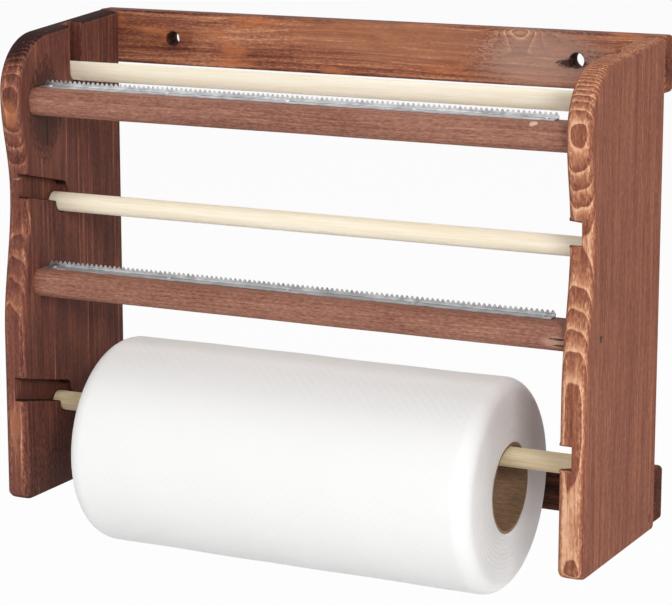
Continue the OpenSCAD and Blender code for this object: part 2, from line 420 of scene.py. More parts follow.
def eased_band(lie: Lie, path: Array, ease: Array | float, roll: Array | float, face: float, far: float,
               edge: Array | float = 1.0) -> tuple[Patch, Array]:
    """Edge of a board from an eased rim on one face to another depth.

    The rim is a quarter of an ellipse: at angle a it lies ease * (1 - sin a) inside the outline and
    roll * (1 - cos a) below the face. Past it the surface runs straight through the board. The wear,
    which the finishes also paint as a highlight, is greatest halfway round the rim.

    Args:
        lie: How the board lies.
        path: The board's closed outline.
        ease: How far the rim reaches onto the face, or one for each point of the outline.
        roll: How far it reaches across the edge, or one for each point of the outline.
        face: Depth of the face.
        far: Depth where the band ends.
        edge: Share of edge, or one for each point of the outline.

    Returns:
        The patch, and the rim's points on the face.
    """
    normals = outward(path)
    side = math.copysign(1.0, face - far)
    cos, sin = sweep(90.0, RIM_POINTS)
    ease, roll, edge = (np.broadcast_to(value, len(path))[:, None] for value in (ease, roll, edge))
    none = np.zeros((len(path), 2))
    inset = np.concatenate([ease * (1.0 - sin), none], 1)
    end = face - side * roll
    depth = np.concatenate([face - side * roll * (1.0 - cos), (end + far) / 2.0, np.full_like(end, far)], 1)
    points = lie.place(path[:, :1] - normals[:, :1] * inset, path[:, 1:] - normals[:, 1:] * inset, depth)
    lean = np.concatenate([sin / ease, none + 1.0], 1)
    lift = np.concatenate([cos / roll, none], 1)
    facing = unit(lie.place(normals[:, :1] * lean, normals[:, 1:] * lean, side * lift))
    share = np.concatenate([sin, [1.0, 1.0]])
    # Wear along the rim, which the finishes also paint as a highlight, greatest halfway round it
    wear_and_shading = 4.0 * share ** 4 * (1.0 - share ** 4)
    return Patch.grid(points, facing, Wrap.ROWS, edge * share, wear_and_shading), points[:, 0]


@dataclass(frozen=True)
class Extent:
    """Lowest and highest corner of a node's solid."""

    low: Array
    high: Array

    @classmethod
    def of(cls, node: str) -> "Extent":
        """Measures a node."""
        return cls(*(np.array(corner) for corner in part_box(node)))

    @property
    def middle(self) -> Array:
        """The point in the middle."""
        return (self.low + self.high) / 2.0

    @property
    def half(self) -> Array:
        """Half the size along each axis."""
        return (self.high - self.low) / 2.0


@dataclass(frozen=True)
class Piece:
    """Name, replaced node, body and finish slot of one dressed piece. The slot is not used."""

    name: str
    node: str
    body: str = "frame"
    slot: str = "stained_pine"

    def extent(self) -> Extent:
        """Size and place of the node that the piece replaces."""
        return Extent.of(self.node)

    def build(self, patches: list[Patch], material: bpy.types.Material) -> bpy.types.Object:
        """Welds patches into one mesh, dresses it and joins it to its body.

        Args:
            patches: The piece's surfaces, whose shared points coincide.
            material: The finish.

        Returns:
            The new object.
        """
        points = np.concatenate([patch.points for patch in patches])
        starts = np.cumsum([0] + [len(patch.points) for patch in patches])
        faces = [start + patch.faces for start, patch in zip(starts, patches)]
        _, first, welded = np.unique(np.round(points / WELD).astype(np.int64), axis=0,
                                     return_index=True, return_inverse=True)
        welded = welded.ravel()
        mesh = bpy.data.meshes.new(self.name)
        mesh.from_pydata(points[first], [], [face for block in faces for face in welded[block].tolist()])
        mesh.polygons.foreach_set("use_smooth", np.ones(len(mesh.polygons), bool))
        for mark in ("edge", "wear_and_shading"):
            values = np.concatenate([getattr(patch, mark) for patch in patches])
            attribute = mesh.attributes.new(mark, "FLOAT", "POINT")
            attribute.data.foreach_set("value", values[first].astype(np.float32))
        normals = np.concatenate([patch.normals for patch in patches])
        mesh.normals_split_custom_set(np.concatenate([normals[block.ravel()] for block in faces]).tolist())
        mesh.materials.append(material)
        built = bpy.data.objects.new(self.name, mesh)
        bpy.context.scene.collection.objects.link(built)
        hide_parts(self.node)
        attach(built, self.body)
        return built


# Finishes


Socket = bpy.types.NodeSocket
Feed = Socket | float | tuple
Stops = tuple[tuple[float, float | Colour], ...]

WHITE = (1.0, 1.0, 1.0)
NOWHERE = (0.0, 0.0, 0.0)
# How far a noise moves along each axis when its seed grows by one
SEED_SHIFT = (7.31, 3.17, 5.53)
# Places of the colour sockets on a mix node: the share, the two colours and the outcome
MIX_SHARE, MIX_FIRST, MIX_SECOND, MIX_OUTCOME = 0, 6, 7, 2
# Late wood through one growth ring
RING: Stops = ((0.0, 0.0), (0.12, 0.02), (0.55, 0.34), (0.8, 0.66), (0.9, 1.0), (0.97, 0.9), (1.0, 0.0))
# Paper between two gaps of a wound roll
LAYER: Stops = ((0.0, 0.0), (0.25, 0.75), (0.6, 1.0), (0.85, 0.55), (1.0, 0.0))
# Gap between two turns of a wound tube
SEAM: Stops = ((0.0, 1.0), (0.02, 0.0), (0.98, 0.0), (1.0, 1.0))


@dataclass(frozen=True)
class Clouds:
    """Cloudy noise: size along each axis in millimetres, seed, and number and strength of finer layers."""

    size: Triple
    seed: float
    layers: float = 2.0
    rough: float = 0.5


class Nodes:
    """A node tree under construction. Most methods add one node and give its output."""

    def __init__(self, tree: bpy.types.NodeTree) -> None:
        """Empties a tree."""
        self.tree = tree
        tree.nodes.clear()

    def node(self, kind: str, feeds: dict[int | str, Feed], **settings: object) -> bpy.types.Node:
        """Adds a node.

        Args:
            kind: The node's type.
            feeds: Values or sockets for its inputs, by name or place.
            settings: The node's own options.

        Returns:
            The node.
        """
        made = self.tree.nodes.new(kind)
        for option, value in settings.items():
            setattr(made, option, value)
        for key, value in feeds.items():
            socket = made.inputs[key]
            if isinstance(value, Socket):
                self.tree.links.new(value, socket)
            elif socket.type == "RGBA":
                socket.default_value = (*value, 1.0)
            else:
                socket.default_value = value
        return made

    def math(self, operation: str, a: Feed, b: Feed = 0.0, c: Feed = 0.0) -> Socket:
        """One step of arithmetic on numbers."""
        return self.node("ShaderNodeMath", {0: a, 1: b, 2: c}, operation=operation).outputs[0]

    def blend(self, share: Feed, a: Socket, b: Socket) -> Socket:
        """A shader between two others."""
        return self.node("ShaderNodeMixShader", {0: share, 1: a, 2: b}).outputs[0]

    def direct_rays(self) -> Socket:
        """Tells what is seen from what only lights.

        Returns:
            1 for rays from the camera, mirrors and glass, 0 for light that bounces about.
        """
        path = self.node("ShaderNodeLightPath", {})
        share = path.outputs["Is Camera Ray"]
        for kind in ("Is Glossy Ray", "Is Transmission Ray"):
            share = self.math("MAXIMUM", share, path.outputs[kind])
        return share


class Shader(Nodes):
    """A material under construction."""

    def __init__(self, name: str) -> None:
        """Starts an empty material.

        Args:
            name: The material's name.
        """
        self.material = bpy.data.materials.new(name)
        self.material.use_nodes = True
        super().__init__(self.material.node_tree)

    def place(self) -> Socket:
        """Place on the piece in millimetres of the frame."""
        at = self.node("ShaderNodeTexCoord", {}).outputs["Object"]
        return self.vector("SCALE", at, scale=1.0 / MM)

    def facing(self, axis: Triple) -> Socket:
        """How squarely the surface faces along an axis, either way, from 0 to 1."""
        normal = self.node("ShaderNodeTexCoord", {}).outputs["Normal"]
        return self.math("ABSOLUTE", self.vector("DOT_PRODUCT", normal, axis))

    def mark(self, name: str) -> Socket:
        """A value that the mesh carries at its points."""
        return self.node("ShaderNodeAttribute", {}, attribute_name=name).outputs["Fac"]

    def total(self, start: Feed, *terms: tuple[Feed, Feed]) -> Feed:
        """A starting value and the products of (value, weight) pairs, added up."""
        for value, weight in terms:
            start = self.math("MULTIPLY_ADD", value, weight, start)
        return start

    def vector(self, operation: str, a: Feed, b: Feed = NOWHERE, c: Feed = NOWHERE,
               scale: Feed = 1.0) -> Socket:
        """One step of arithmetic on vectors. Lengths and products come out as numbers."""
        made = self.node("ShaderNodeVectorMath", {0: a, 1: b, 2: c, 3: scale}, operation=operation)
        return made.outputs["Value" if operation in ("LENGTH", "DOT_PRODUCT") else "Vector"]

    def away(self, at: Feed, centre: Triple, reach: Triple) -> Socket:
        """Way from a centre in shares of a reach along each axis."""
        return self.vector("DIVIDE", self.vector("SUBTRACT", at, centre), reach)

    def split(self, at: Feed) -> list[Socket]:
        """The three numbers of a vector."""
        return list(self.node("ShaderNodeSeparateXYZ", {0: at}).outputs)

    def join(self, x: Feed, y: Feed, z: Feed) -> Socket:
        """A vector of three numbers."""
        return self.node("ShaderNodeCombineXYZ", {0: x, 1: y, 2: z}).outputs[0]

    def noise(self, at: Feed, clouds: Clouds, seed: float = 0.0, colour: bool = False) -> Socket:
        """Cloudy noise from 0 to 1.

        Args:
            at: Place in millimetres.
            clouds: The noise.
            seed: The finish's own seed, added to that of the noise.
            colour: Whether three separate noises come out, as a vector.

        Returns:
            The noise.
        """
        shift = tuple((clouds.seed + seed) * step for step in SEED_SHIFT)
        scaled = self.vector("MULTIPLY_ADD", at, tuple(1.0 / size for size in clouds.size), shift)
        feeds = {"Vector": scaled, "Scale": 1.0, "Detail": clouds.layers, "Roughness": clouds.rough}
        return self.node("ShaderNodeTexNoise", feeds).outputs["Color" if colour else "Fac"]

    def smooth(self, value: Feed, low: float, high: float, start: float = 0.0, end: float = 1.0) -> Socket:
        """Eases from start to end while a value goes from low to high."""
        feeds = {"Value": value, "From Min": low, "From Max": high, "To Min": start, "To Max": end}
        return self.node("ShaderNodeMapRange", feeds, interpolation_type="SMOOTHSTEP").outputs[0]

    def curve(self, value: Feed, stops: Stops) -> Socket:
        """A broken line through stops.

        Args:
            value: Place along the line.
            stops: (place, height) or (place, colour) pairs in rising order.

        Returns:
            The height or colour at that place.
        """
        made = self.node("ShaderNodeValToRGB", {0: value})
        elements = made.color_ramp.elements
        elements[0].position, elements[1].position = stops[0][0], stops[-1][0]
        for place, _ in stops[1:-1]:
            elements.new(place)
        for element, (_, height) in zip(elements, stops):
            element.color = (*(height if isinstance(height, tuple) else (height,) * 3), 1.0)
        return made.outputs["Color"]

    def mix(self, share: Feed, a: Feed, b: Feed, blend: str = "MIX") -> Socket:
        """A colour between two others."""
        feeds = {MIX_SHARE: share, MIX_FIRST: a, MIX_SECOND: b}
        return self.node("ShaderNodeMix", feeds, data_type="RGBA", blend_type=blend).outputs[MIX_OUTCOME]

    def bump(self, height: Feed, depth: float, under: Feed | None = None) -> Socket:
        """Relief, on top of another where one is given.

        Args:
            height: Height of the relief from 0 to 1.
            depth: Its depth in millimetres.
            under: The relief that it lies on, if there is one.

        Returns:
            The normal of the relief.
        """
        feeds = {"Strength": 1.0, "Distance": depth * MM, "Height": height}
        if under is not None:
            feeds["Normal"] = under
        return self.node("ShaderNodeBump", feeds).outputs[0]

    def surface(self, **feeds: Feed) -> bpy.types.Material:
        """Closes the material with its surface shader, whose inputs are named with underscores."""
        named = {name.replace("_", " "): value for name, value in feeds.items()}
        return self.close(self.node("ShaderNodeBsdfPrincipled", named).outputs[0])

    def close(self, shader: Socket) -> bpy.types.Material:
        """Closes the material with a shader."""
        self.node("ShaderNodeOutputMaterial", {"Surface": shader})
        return self.material


class Grain(Enum):
    """The axis that a board's fibres follow."""

    UPRIGHT = 2
    LENGTHWISE = 0

    def turn(self, values: tuple | list) -> tuple:
        """Puts three values in the order across, across, along."""
        return tuple(values[(self.value + step) % 3] for step in (1, 2, 0))

    @property
    def axis(self) -> Triple:
        """Unit vector along the fibres."""
        return tuple(float(i == self.value) for i in range(3))


@dataclass(frozen=True)
class Figure:
    """A swelling of the growth rings, which shows as nested ovals where a surface cuts it."""

    centre: Triple
    reach: Triple
    swell: float
    gain: float = 0.0


@dataclass(frozen=True)
class Blemish:
    """A patch of another colour with a ragged outline."""

    centre: Triple
    reach: Triple
    colour: Colour
    strength: float = 0.9
    ragged: float = 1.2


@dataclass(frozen=True)
class StainedPine:
    """Stained pine: growth rings about a heart line, fibres, streaks of stain and dark end grain.

    Lengths are millimetres. A tone runs from 0, the darkest stain, to 1, bare late wood. The face and the
    edge each give the tone of early wood and what late wood adds. Flush is the share of orange patches,
    and lined what thin pale lines along the fibres add. The noises run across, across and along the fibres.
    """

    name: str
    grain: Grain
    heart: Triple
    seed: float
    ring: float = 1.7
    phase: float = 0.0
    wander: float = 0.5
    ripple: float = 0.3
    face: Pair = (0.40, 0.16)
    edge: Pair = (0.47, 0.55)
    streaky: float = 0.4
    lined: float = 0.0
    fibrous: float = 0.66
    patchy: float = 0.2
    speckled: float = 0.4
    end_shade: float = 0.2
    flush: float = 0.0
    flush_colour: Colour = srgb(190, 116, 74)
    tones: Stops = ((0.0, srgb(44, 22, 16)), (0.3, srgb(110, 62, 47)), (0.5, srgb(142, 87, 67)),
                    (0.72, srgb(184, 125, 93)), (1.0, srgb(226, 178, 144)))
    figures: tuple[Figure, ...] = ()
    blemishes: tuple[Blemish, ...] = ()
    long_bends: Clouds = Clouds((60.0, 60.0, 150.0), 0.0, 1.5)
    short_bends: Clouds = Clouds((9.0, 9.0, 50.0), 0.5, 1.5)
    fibres: Clouds = Clouds((0.55, 0.55, 16.0), 2.0, 3.0, 0.65)
    streaks: Clouds = Clouds((2.2, 2.2, 110.0), 3.0, 2.0, 0.6)
    patches: Clouds = Clouds((14.0, 14.0, 70.0), 4.0, 3.0, 0.6)
    specks: Clouds = Clouds((0.9, 0.9, 2.6), 5.0, 2.0, 0.65)
    blotches: Clouds = Clouds((9.0, 9.0, 34.0), 6.0, 4.0, 0.62)

    def bend(self, s: Shader, own: Feed) -> Socket:
        """Lets the heart line wander, up to twice the wander and the ripple either way.

        Args:
            s: The material.
            own: Place in the board's own axes.

        Returns:
            The wandering place.
        """
        bent = own
        for clouds, reach in ((self.long_bends, self.wander), (self.short_bends, self.ripple)):
            stray = s.noise(own, clouds, self.seed, colour=True)
            stray = s.vector("MULTIPLY_ADD", stray, (4.0 * reach,) * 3, (-2.0 * reach,) * 3)
            bent = s.vector("ADD", bent, stray)
        return bent

    def late_wood(self, s: Shader, at: Feed, bent: Feed) -> Socket:
        """Share of hard, pale late wood.

        It counts the distance from the heart line in ring widths, rises slowly through each ring to a
        bright line, and falls at once at its end. Each ring has its own strength.

        Args:
            s: The material.
            at: Place in millimetres.
            bent: Wandering place in the board's own axes.

        Returns:
            The share.
        """
        distance = s.vector("LENGTH", s.vector("MULTIPLY", bent, (1.0, 1.0, 0.0)))
        boost: Feed = 1.0
        for figure in self.figures:
            offset = s.away(at, figure.centre, figure.reach)
            fall = s.math("EXPONENT", s.math("MULTIPLY", s.vector("DOT_PRODUCT", offset, offset), -1.0))
            distance = s.total(distance, (fall, figure.swell))
            boost = s.total(boost, (fall, figure.gain))
        count = s.total(self.phase, (distance, 1.0 / self.ring))
        late = s.curve(s.math("FRACT", count), RING)
        own_number = s.math("ADD", s.math("FLOOR", count), self.seed)
        chance = s.node("ShaderNodeTexWhiteNoise", {"W": own_number}, noise_dimensions="1D").outputs["Value"]
        return s.math("MULTIPLY", boost, s.math("MULTIPLY", late, s.total(0.6, (chance, 0.4))))

    def blemished(self, s: Shader, colour: Feed, at: Feed, speck: Feed) -> Feed:
        """Lays the blemishes over a colour.

        Each is full up to 0.55 of its reach and fades out towards all of it, and specks fray its outline.

        Args:
            s: The material.
            colour: The colour so far.
            at: Place in millimetres.
            speck: Noise of the specks.

        Returns:
            The colour with the blemishes.
        """
        for blemish in self.blemishes:
            span = s.vector("LENGTH", s.away(at, blemish.centre, blemish.reach))
            frayed = s.total(span, (speck, blemish.ragged))
            middle = 0.5 * blemish.ragged
            share = s.smooth(frayed, 0.55 + middle, 1.0 + middle, blemish.strength, 0.0)
            colour = s.mix(share, colour, blemish.colour)
        return colour

    def material(self) -> bpy.types.Material:
        """Builds the finish.

        Returns:
            The material.
        """
        s = Shader(self.name)
        at = s.place()
        own = s.vector("SUBTRACT", s.join(*self.grain.turn(s.split(at))), self.grain.turn(self.heart))
        bent = self.bend(s, own)
        late = self.late_wood(s, at, bent)
        fibre, streak = (s.noise(bent, clouds, self.seed) for clouds in (self.fibres, self.streaks))
        patch, speck, blotch = (s.noise(own, clouds, self.seed)
                                for clouds in (self.patches, self.specks, self.blotches))
        edge, wear_and_shading = s.mark("edge"), s.mark("wear_and_shading")
        end = s.smooth(s.facing(self.grain.axis), 0.35, 0.95)
        # The noises are 0.5 on average, so half of their weights comes off the tone of early wood
        below = 0.5 * (self.streaky + self.fibrous + self.patchy + self.speckled)
        early = s.smooth(edge, 0.0, 1.0, self.face[0] - below, self.edge[0] - below)
        contrast = s.smooth(edge, 0.0, 1.0, self.face[1], self.edge[1])
        # Where the mesh marks wear on a rim the tone rises: rubbed stain and a painted highlight
        tone = s.total(early, (late, contrast), (streak, self.streaky), (fibre, self.fibrous),
                       (patch, self.patchy), (speck, self.speckled), (s.smooth(streak, 0.6, 0.7), self.lined),
                       (wear_and_shading, s.smooth(speck, 0.4, 0.7, 0.0, 0.2)), (end, -self.end_shade))
        flushed = s.math("MULTIPLY", s.smooth(blotch, 0.5, 0.72, 0.0, self.flush), s.total(1.0, (end, -1.0)))
        colour = s.mix(flushed, s.curve(tone, self.tones), self.flush_colour)
        relief = s.total(0.0, (fibre, 0.8), (late, 0.5), (speck, 0.4))
        return s.surface(Base_Color=self.blemished(s, colour, at, speck), Specular_IOR_Level=0.12,
                         Roughness=s.total(0.5, (fibre, 0.3), (end, 0.25)), Normal=s.bump(relief, 0.14))


@dataclass(frozen=True)
class BareWood:
    """Sanded pale wood with fine fibres along x."""

    name: str
    seed: float
    light: Colour = srgb(254, 246, 228)
    dark: Colour = srgb(244, 229, 199)
    fibres: Clouds = Clouds((22.0, 0.5, 0.5), 0.0, 3.0, 0.6)
    bands: Clouds = Clouds((160.0, 3.2, 3.2), 1.0)
    pores: Clouds = Clouds((5.0, 0.35, 0.35), 2.0, 1.0)

    def material(self) -> bpy.types.Material:
        """Builds the finish.

        Returns:
            The material.
        """
        s = Shader(self.name)
        at = s.place()
        fibre, band, pore = (s.noise(at, clouds, self.seed)
                             for clouds in (self.fibres, self.bands, self.pores))
        end = s.smooth(s.facing(Grain.LENGTHWISE.axis), 0.5, 0.95)
        share = s.total(0.0, (fibre, 0.6), (band, 0.6))
        colour = s.mix(s.smooth(share, 0.42, 0.82), self.light, self.dark)
        colour = s.mix(s.smooth(pore, 0.66, 0.76, 0.0, 0.4), colour, self.dark, "MULTIPLY")
        colour = s.mix(s.math("MULTIPLY", end, 0.5), colour, self.dark, "MULTIPLY")
        return s.surface(Base_Color=colour, Roughness=s.smooth(fibre, 0.2, 0.8, 0.52, 0.7),
                         Specular_IOR_Level=0.3, Normal=s.bump(s.total(fibre, (pore, -0.5)), 0.07))


@dataclass(frozen=True)
class ZincSteel:
    """Dull zinc-coated sheet: rolled streaks along x, cloudy spangle and small dents."""

    name: str
    seed: float
    light: Colour = (0.40, 0.40, 0.405)
    dark: Colour = (0.2, 0.2, 0.205)
    streaks: Clouds = Clouds((40.0, 0.25, 0.25), 0.0, 2.0, 0.6)
    spangles: Clouds = Clouds((5.0, 3.0, 3.0), 1.0, 2.0, 0.55)
    dents: Clouds = Clouds((9.0, 6.0, 6.0), 2.0, 1.0)

    def material(self) -> bpy.types.Material:
        """Builds the finish.

        Returns:
            The material.
        """
        s = Shader(self.name)
        at = s.place()
        streak, spangle, dent = (s.noise(at, clouds, self.seed)
                                 for clouds in (self.streaks, self.spangles, self.dents))
        share = s.total(0.1, (spangle, 0.4), (streak, 0.5))
        colour = s.mix(s.smooth(share, 0.35, 0.75), self.dark, self.light)
        return s.surface(Base_Color=colour, Metallic=1.0, Roughness=s.smooth(spangle, 0.3, 0.7, 0.34, 0.52),
                         Normal=s.bump(s.total(dent, (streak, 0.4)), 0.08))


@dataclass(frozen=True)
class EmbossedPaper:
    """Soft white tissue: felted fibres, and painted shade in the embossed dimples and between the wound end
    layers.
    """

    name: str
    axis: Triple
    layer_pitch: float = 0.84
    white: Colour = (0.92, 0.92, 0.915)
    shade: Colour = (0.8, 0.795, 0.785)
    fuzz: Clouds = Clouds((0.5, 0.5, 0.5), 1.0, 3.0, 0.65)
    creases: Clouds = Clouds((9.0, 4.0, 4.0), 2.0, 3.0, 0.6)

    def material(self) -> bpy.types.Material:
        """Builds the finish.

        Returns:
            The material.
        """
        s = Shader(self.name)
        at = s.vector("SUBTRACT", s.place(), self.axis)
        fuzz, crease = s.noise(at, self.fuzz), s.noise(at, self.creases)
        radius = s.total(s.vector("LENGTH", s.vector("MULTIPLY", at, (0.0, 1.0, 1.0))), (crease, 1.1))
        layer = s.curve(s.math("FRACT", s.math("DIVIDE", radius, self.layer_pitch)), LAYER)
        end = s.smooth(s.facing(Grain.LENGTHWISE.axis), 0.75, 0.97)
        # Painted shade in the embossed dimples and in the gaps between the layers on the ends; the fuzz only
        # varies the tone at random
        shade = s.total(s.smooth(fuzz, 0.3, 0.8, 0.12, -0.05), (s.mark("wear_and_shading"), 0.15),
                        (end, s.total(0.3, (layer, -0.3))))
        colour = s.mix(s.smooth(shade, 0.0, 1.0), self.white, self.shade)
        relief = s.bump(s.total(0.0, (crease, 0.8), (fuzz, 0.7)), 0.12)
        wound = s.bump(s.math("MULTIPLY", layer, end), 0.1, relief)
        return s.surface(Base_Color=colour, Roughness=s.smooth(fuzz, 0.2, 0.8, 0.86, 0.98),
                         Specular_IOR_Level=0.12, Normal=wound)


@dataclass(frozen=True)
class BrownBoard:
    """Grey-brown cardboard wound in a spiral, with fibre specks and a seam at each turn."""

    name: str
    axis: Triple
    pitch: float
    light: Colour = srgb(176, 144, 114)
    dark: Colour = srgb(130, 102, 80)
    fibres: Clouds = Clouds((6.0, 1.2, 1.2), 3.0, 3.0, 0.65)
    specks: Clouds = Clouds((0.9, 0.5, 0.5), 4.0, 2.0, 0.6)

    def material(self) -> bpy.types.Material:
        """Builds the finish.

        Returns:
            The material.
        """
        s = Shader(self.name)
        at = s.vector("SUBTRACT", s.place(), self.axis)
        x, y, z = s.split(at)
        fibre, speck = s.noise(at, self.fibres), s.noise(at, self.specks)
        turn = s.math("DIVIDE", s.math("ARCTAN2", z, y), FULL_TURN)
        seam = s.curve(s.math("FRACT", s.total(turn, (x, 1.0 / self.pitch))), SEAM)
        share = s.total(0.0, (fibre, 0.7), (speck, 0.5))
        colour = s.mix(s.smooth(share, 0.35, 0.85), self.dark, self.light)
        colour = s.mix(s.math("MULTIPLY", seam, 0.6), colour, self.dark, "MULTIPLY")
        relief = s.total(0.0, (share, 0.5), (seam, -1.0))
        return s.surface(Base_Color=colour, Roughness=s.smooth(fibre, 0.3, 0.7, 0.8, 0.94),
                         Specular_IOR_Level=0.2, Normal=s.bump(relief, 0.15))


@dataclass(frozen=True)
class DarkFiller:
    """Dark wood putty, dull and a little grainy, rubbed over with stain where the mesh marks wear."""

    name: str
    light: Colour = srgb(92, 56, 44)
    dark: Colour = srgb(48, 26, 19)
    rubbed: Colour = srgb(128, 78, 61)
    grit: Clouds = Clouds((0.4, 0.4, 0.4), 6.0, 3.0, 0.65)
    smears: Clouds = Clouds((2.0, 2.0, 5.0), 7.0)

    def material(self) -> bpy.types.Material:
        """Builds the finish.

        Returns:
            The material.
        """
        s = Shader(self.name)
        at = s.place()
        grit, smear = s.noise(at, self.grit), s.noise(at, self.smears)
        share = s.total(0.0, (grit, 0.5), (smear, 0.5))
        colour = s.mix(s.smooth(share, 0.3, 0.7), self.dark, self.light)
        colour = s.mix(s.math("MULTIPLY", s.mark("wear_and_shading"), 0.75), colour, self.rubbed)
        return s.surface(Base_Color=colour, Roughness=s.smooth(grit, 0.3, 0.7, 0.65, 0.85),
                         Specular_IOR_Level=0.3, Normal=s.bump(grit, 0.08))


# Pieces


class Side(Enum):
    """Which end of the holder a piece closes, as the sign of x."""

    LEFT = -1.0
    RIGHT = 1.0

    def faces(self, extent: Extent) -> Pair:
        """Outer and inner x of a piece at this end."""
        ends = (extent.low[0], extent.high[0])
        return ends if self is Side.LEFT else ends[::-1]


@dataclass(frozen=True)
class Groove:
    """Course of a groove, in depth behind a panel's front edge and height above its feet.

    It holds a point on the wall that the outline meets first and one on the other wall, the way along both
    towards the mouth, and the corners between them with their radii.
    """

    near: Array
    far: Array
    along: Array
    corners: Array
    radii: list[float]


@dataclass
class SidePanel:
    """A shaped side panel with two hooked grooves from the front and one from the top, all blind.

    The outline is worked out as depth behind the front edge and height above the feet. Each rim has a reach
    onto the face and one across the edge. The rooms keep the outline's own points clear of a groove's lips
    and mouth, and shaded_groove_edge is the share of edge inside a groove, whose low value darkens the
    grooves' walls as painted shade.
    """

    side: Side
    piece: Piece
    finish: StainedPine
    toe_r: float = 4.0 * MM
    straight_h: float = 88.0 * MM
    waist_z: float = 160.0 * MM
    waist_in: float = 8.0 * MM
    brow_in: float = 1.3 * MM
    crown_r: float = 30.0 * MM
    top_fall: float = math.radians(4.3)
    back_r: float = 2.6 * MM
    groove_w: float = 10.8 * MM
    groove_depth: float = 6.5 * MM
    groove_fall: float = math.radians(12.5)
    # Share of edge inside a groove, kept low so that the grooves' walls come out darker as painted shade
    shaded_groove_edge: float = 0.3
    pocket_drop: float = 5.4 * MM
    lip_r: float = 1.3 * MM
    lip_room: float = 2.86 * MM
    mouth_room: float = 0.2 * MM
    rim: Pair = (2.3 * MM, 4.8 * MM)
    back_rim: Pair = (1.1 * MM, 1.6 * MM)
    groove_rim: Pair = (0.7 * MM, 0.7 * MM)
    fade_points: int = 6
    step: float = 2.5 * MM

    def outline(self, depth: float, height: float) -> Array:
        """The plain outline, from the lower back corner round by the front.

        A rounded toe, a straight stretch, two half waves through the waist, an arc over the brow and the
        falling top edge.

        Args:
            depth: Depth of the panel.
            height: Height of its back edge.

        Returns:
            The open path, whose last point lies above its first.
        """
        crown_y = self.brow_in + self.crown_r
        drop = (depth - crown_y) * math.tan(self.top_fall) + self.crown_r / math.cos(self.top_fall)
        crown_z = height - drop
        toe = arc((self.toe_r, self.toe_r), self.toe_r, 270.0, 180.0, 8)
        rise = half_wave((0.0, self.straight_h), (self.waist_in, self.waist_z))
        swell = half_wave((self.waist_in, self.waist_z), (self.brow_in, crown_z))
        crown = arc((crown_y, crown_z), self.crown_r, 180.0, 90.0 + math.degrees(self.top_fall), 30)
        corners = distinct(np.concatenate([[[depth, 0.0]], toe, rise, swell, crown, [[depth, height]]]))
        radii = [self.back_r] + [0.0] * (len(corners) - 2) + [self.back_r]
        return densify(fillet(corners, radii), self.step)

    @property
    def pocket_r(self) -> float:
        """Radius at the bottom of a groove, just under half its width so that the two arcs stay apart."""
        return 0.999 * self.groove_w / 2.0

    def pocket(self, seat: Array) -> Array:
        """Front and back bottom corner of a groove, round the centre of the dowel that lies there."""
        half = self.groove_w / 2.0
        return seat + np.array([[-half, -half], [half, -half]])

    def hook(self, seat: Array) -> Groove:
        """A groove that slopes back from the front edge, turns down at a lip and ends in a pocket.

        Args:
            seat: Centre of the dowel in the pocket.

        Returns:
            The groove, with the lip, the pocket's two bottom corners and its upper back corner.
        """
        half = self.groove_w / 2.0
        along = np.array([-math.cos(self.groove_fall), math.sin(self.groove_fall)])
        up = np.array([math.sin(self.groove_fall), math.cos(self.groove_fall)])
        elbow = seat + np.array([0.0, self.pocket_drop])
        lower, upper = elbow - half * up, elbow + half * up
        lip = lower + along * (seat[0] - half - lower[0]) / along[0]
        heel = upper + along * (seat[0] + half - upper[0]) / along[0]
        corners = np.array([lip, *self.pocket(seat), heel])
        return Groove(lower, upper, along, corners, [self.lip_r] + [self.pocket_r] * 3)

    def slot(self, seat: Array) -> Groove:
        """A straight groove from the top edge down to the dowel at the seat."""
        corners = self.pocket(seat)
        return Groove(corners[0], corners[1], np.array([0.0, 1.0]), corners, [self.pocket_r] * 2)

    def lip_start(self, corner: Array, outer: Array, inner: Array) -> Array:
        """Where the rounding of a groove's mouth leaves the outline.

        Args:
            corner: Where the outline meets the groove's wall.
            outer: The next point of the outline.
            inner: The next corner of the groove.

        Returns:
            The point on the outline, lip_r / tan(half the corner's angle) from the corner.
        """
        sides = unit(np.stack([outer - corner, inner - corner]))
        half = 0.5 * math.acos(float(sides[0] @ sides[1]))
        return corner + sides[0] * self.lip_r / math.tan(half)

    def notch(self, path: Array, groove: Groove) -> tuple[Array, Array, Array, Array]:
        """Cuts a groove's mouth into the outline.

        Args:
            path: What is left of the outline.
            groove: The groove.

        Returns:
            The outline before the mouth, across the mouth, round the groove, and after the mouth.
        """
        near_i, near = crossing(path, groove.near, groove.along)
        far_i, far = crossing(path, groove.far, groove.along)
        before, across, after = path[:near_i + 1], path[near_i + 1:far_i + 1], path[far_i + 1:]
        before = before[np.linalg.norm(before - near, axis=1) > self.lip_room]
        after = after[np.linalg.norm(after - far, axis=1) > self.lip_room]
        room = np.minimum(np.linalg.norm(across - near, axis=1), np.linalg.norm(across - far, axis=1))
        first = self.lip_start(near, before[-1], groove.corners[0])
        last = self.lip_start(far, after[0], groove.corners[-1])
        mouth = np.concatenate([[first, near], across[room > self.mouth_room], [far, last]])
        walls = fillet(np.concatenate([[first, near], groove.corners, [far, last]]),
                       [0.0, self.lip_r, *groove.radii, self.lip_r, 0.0], closed=False)
        return before, mouth, densify(walls, self.step), after

    def rims(self, path: Array, inside: Array | float) -> list[Array]:
        """Reaches of the rounded rim: full along the front and top, small behind, below and in the grooves.

        Args:
            path: The closed outline.
            inside: How far each point lies in a groove.

        Returns:
            The rim's reach onto the face and across the edge, at each point of the outline.
        """
        facing = outward(path)
        full = smoothstep(-0.2, 0.6, np.maximum(facing[:, 1], 0.0) * 0.9 - facing[:, 0])
        return [(low + (high - low) * full) * (1.0 - inside) + groove * inside
                for high, low, groove in zip(self.rim, self.back_rim, self.groove_rim)]

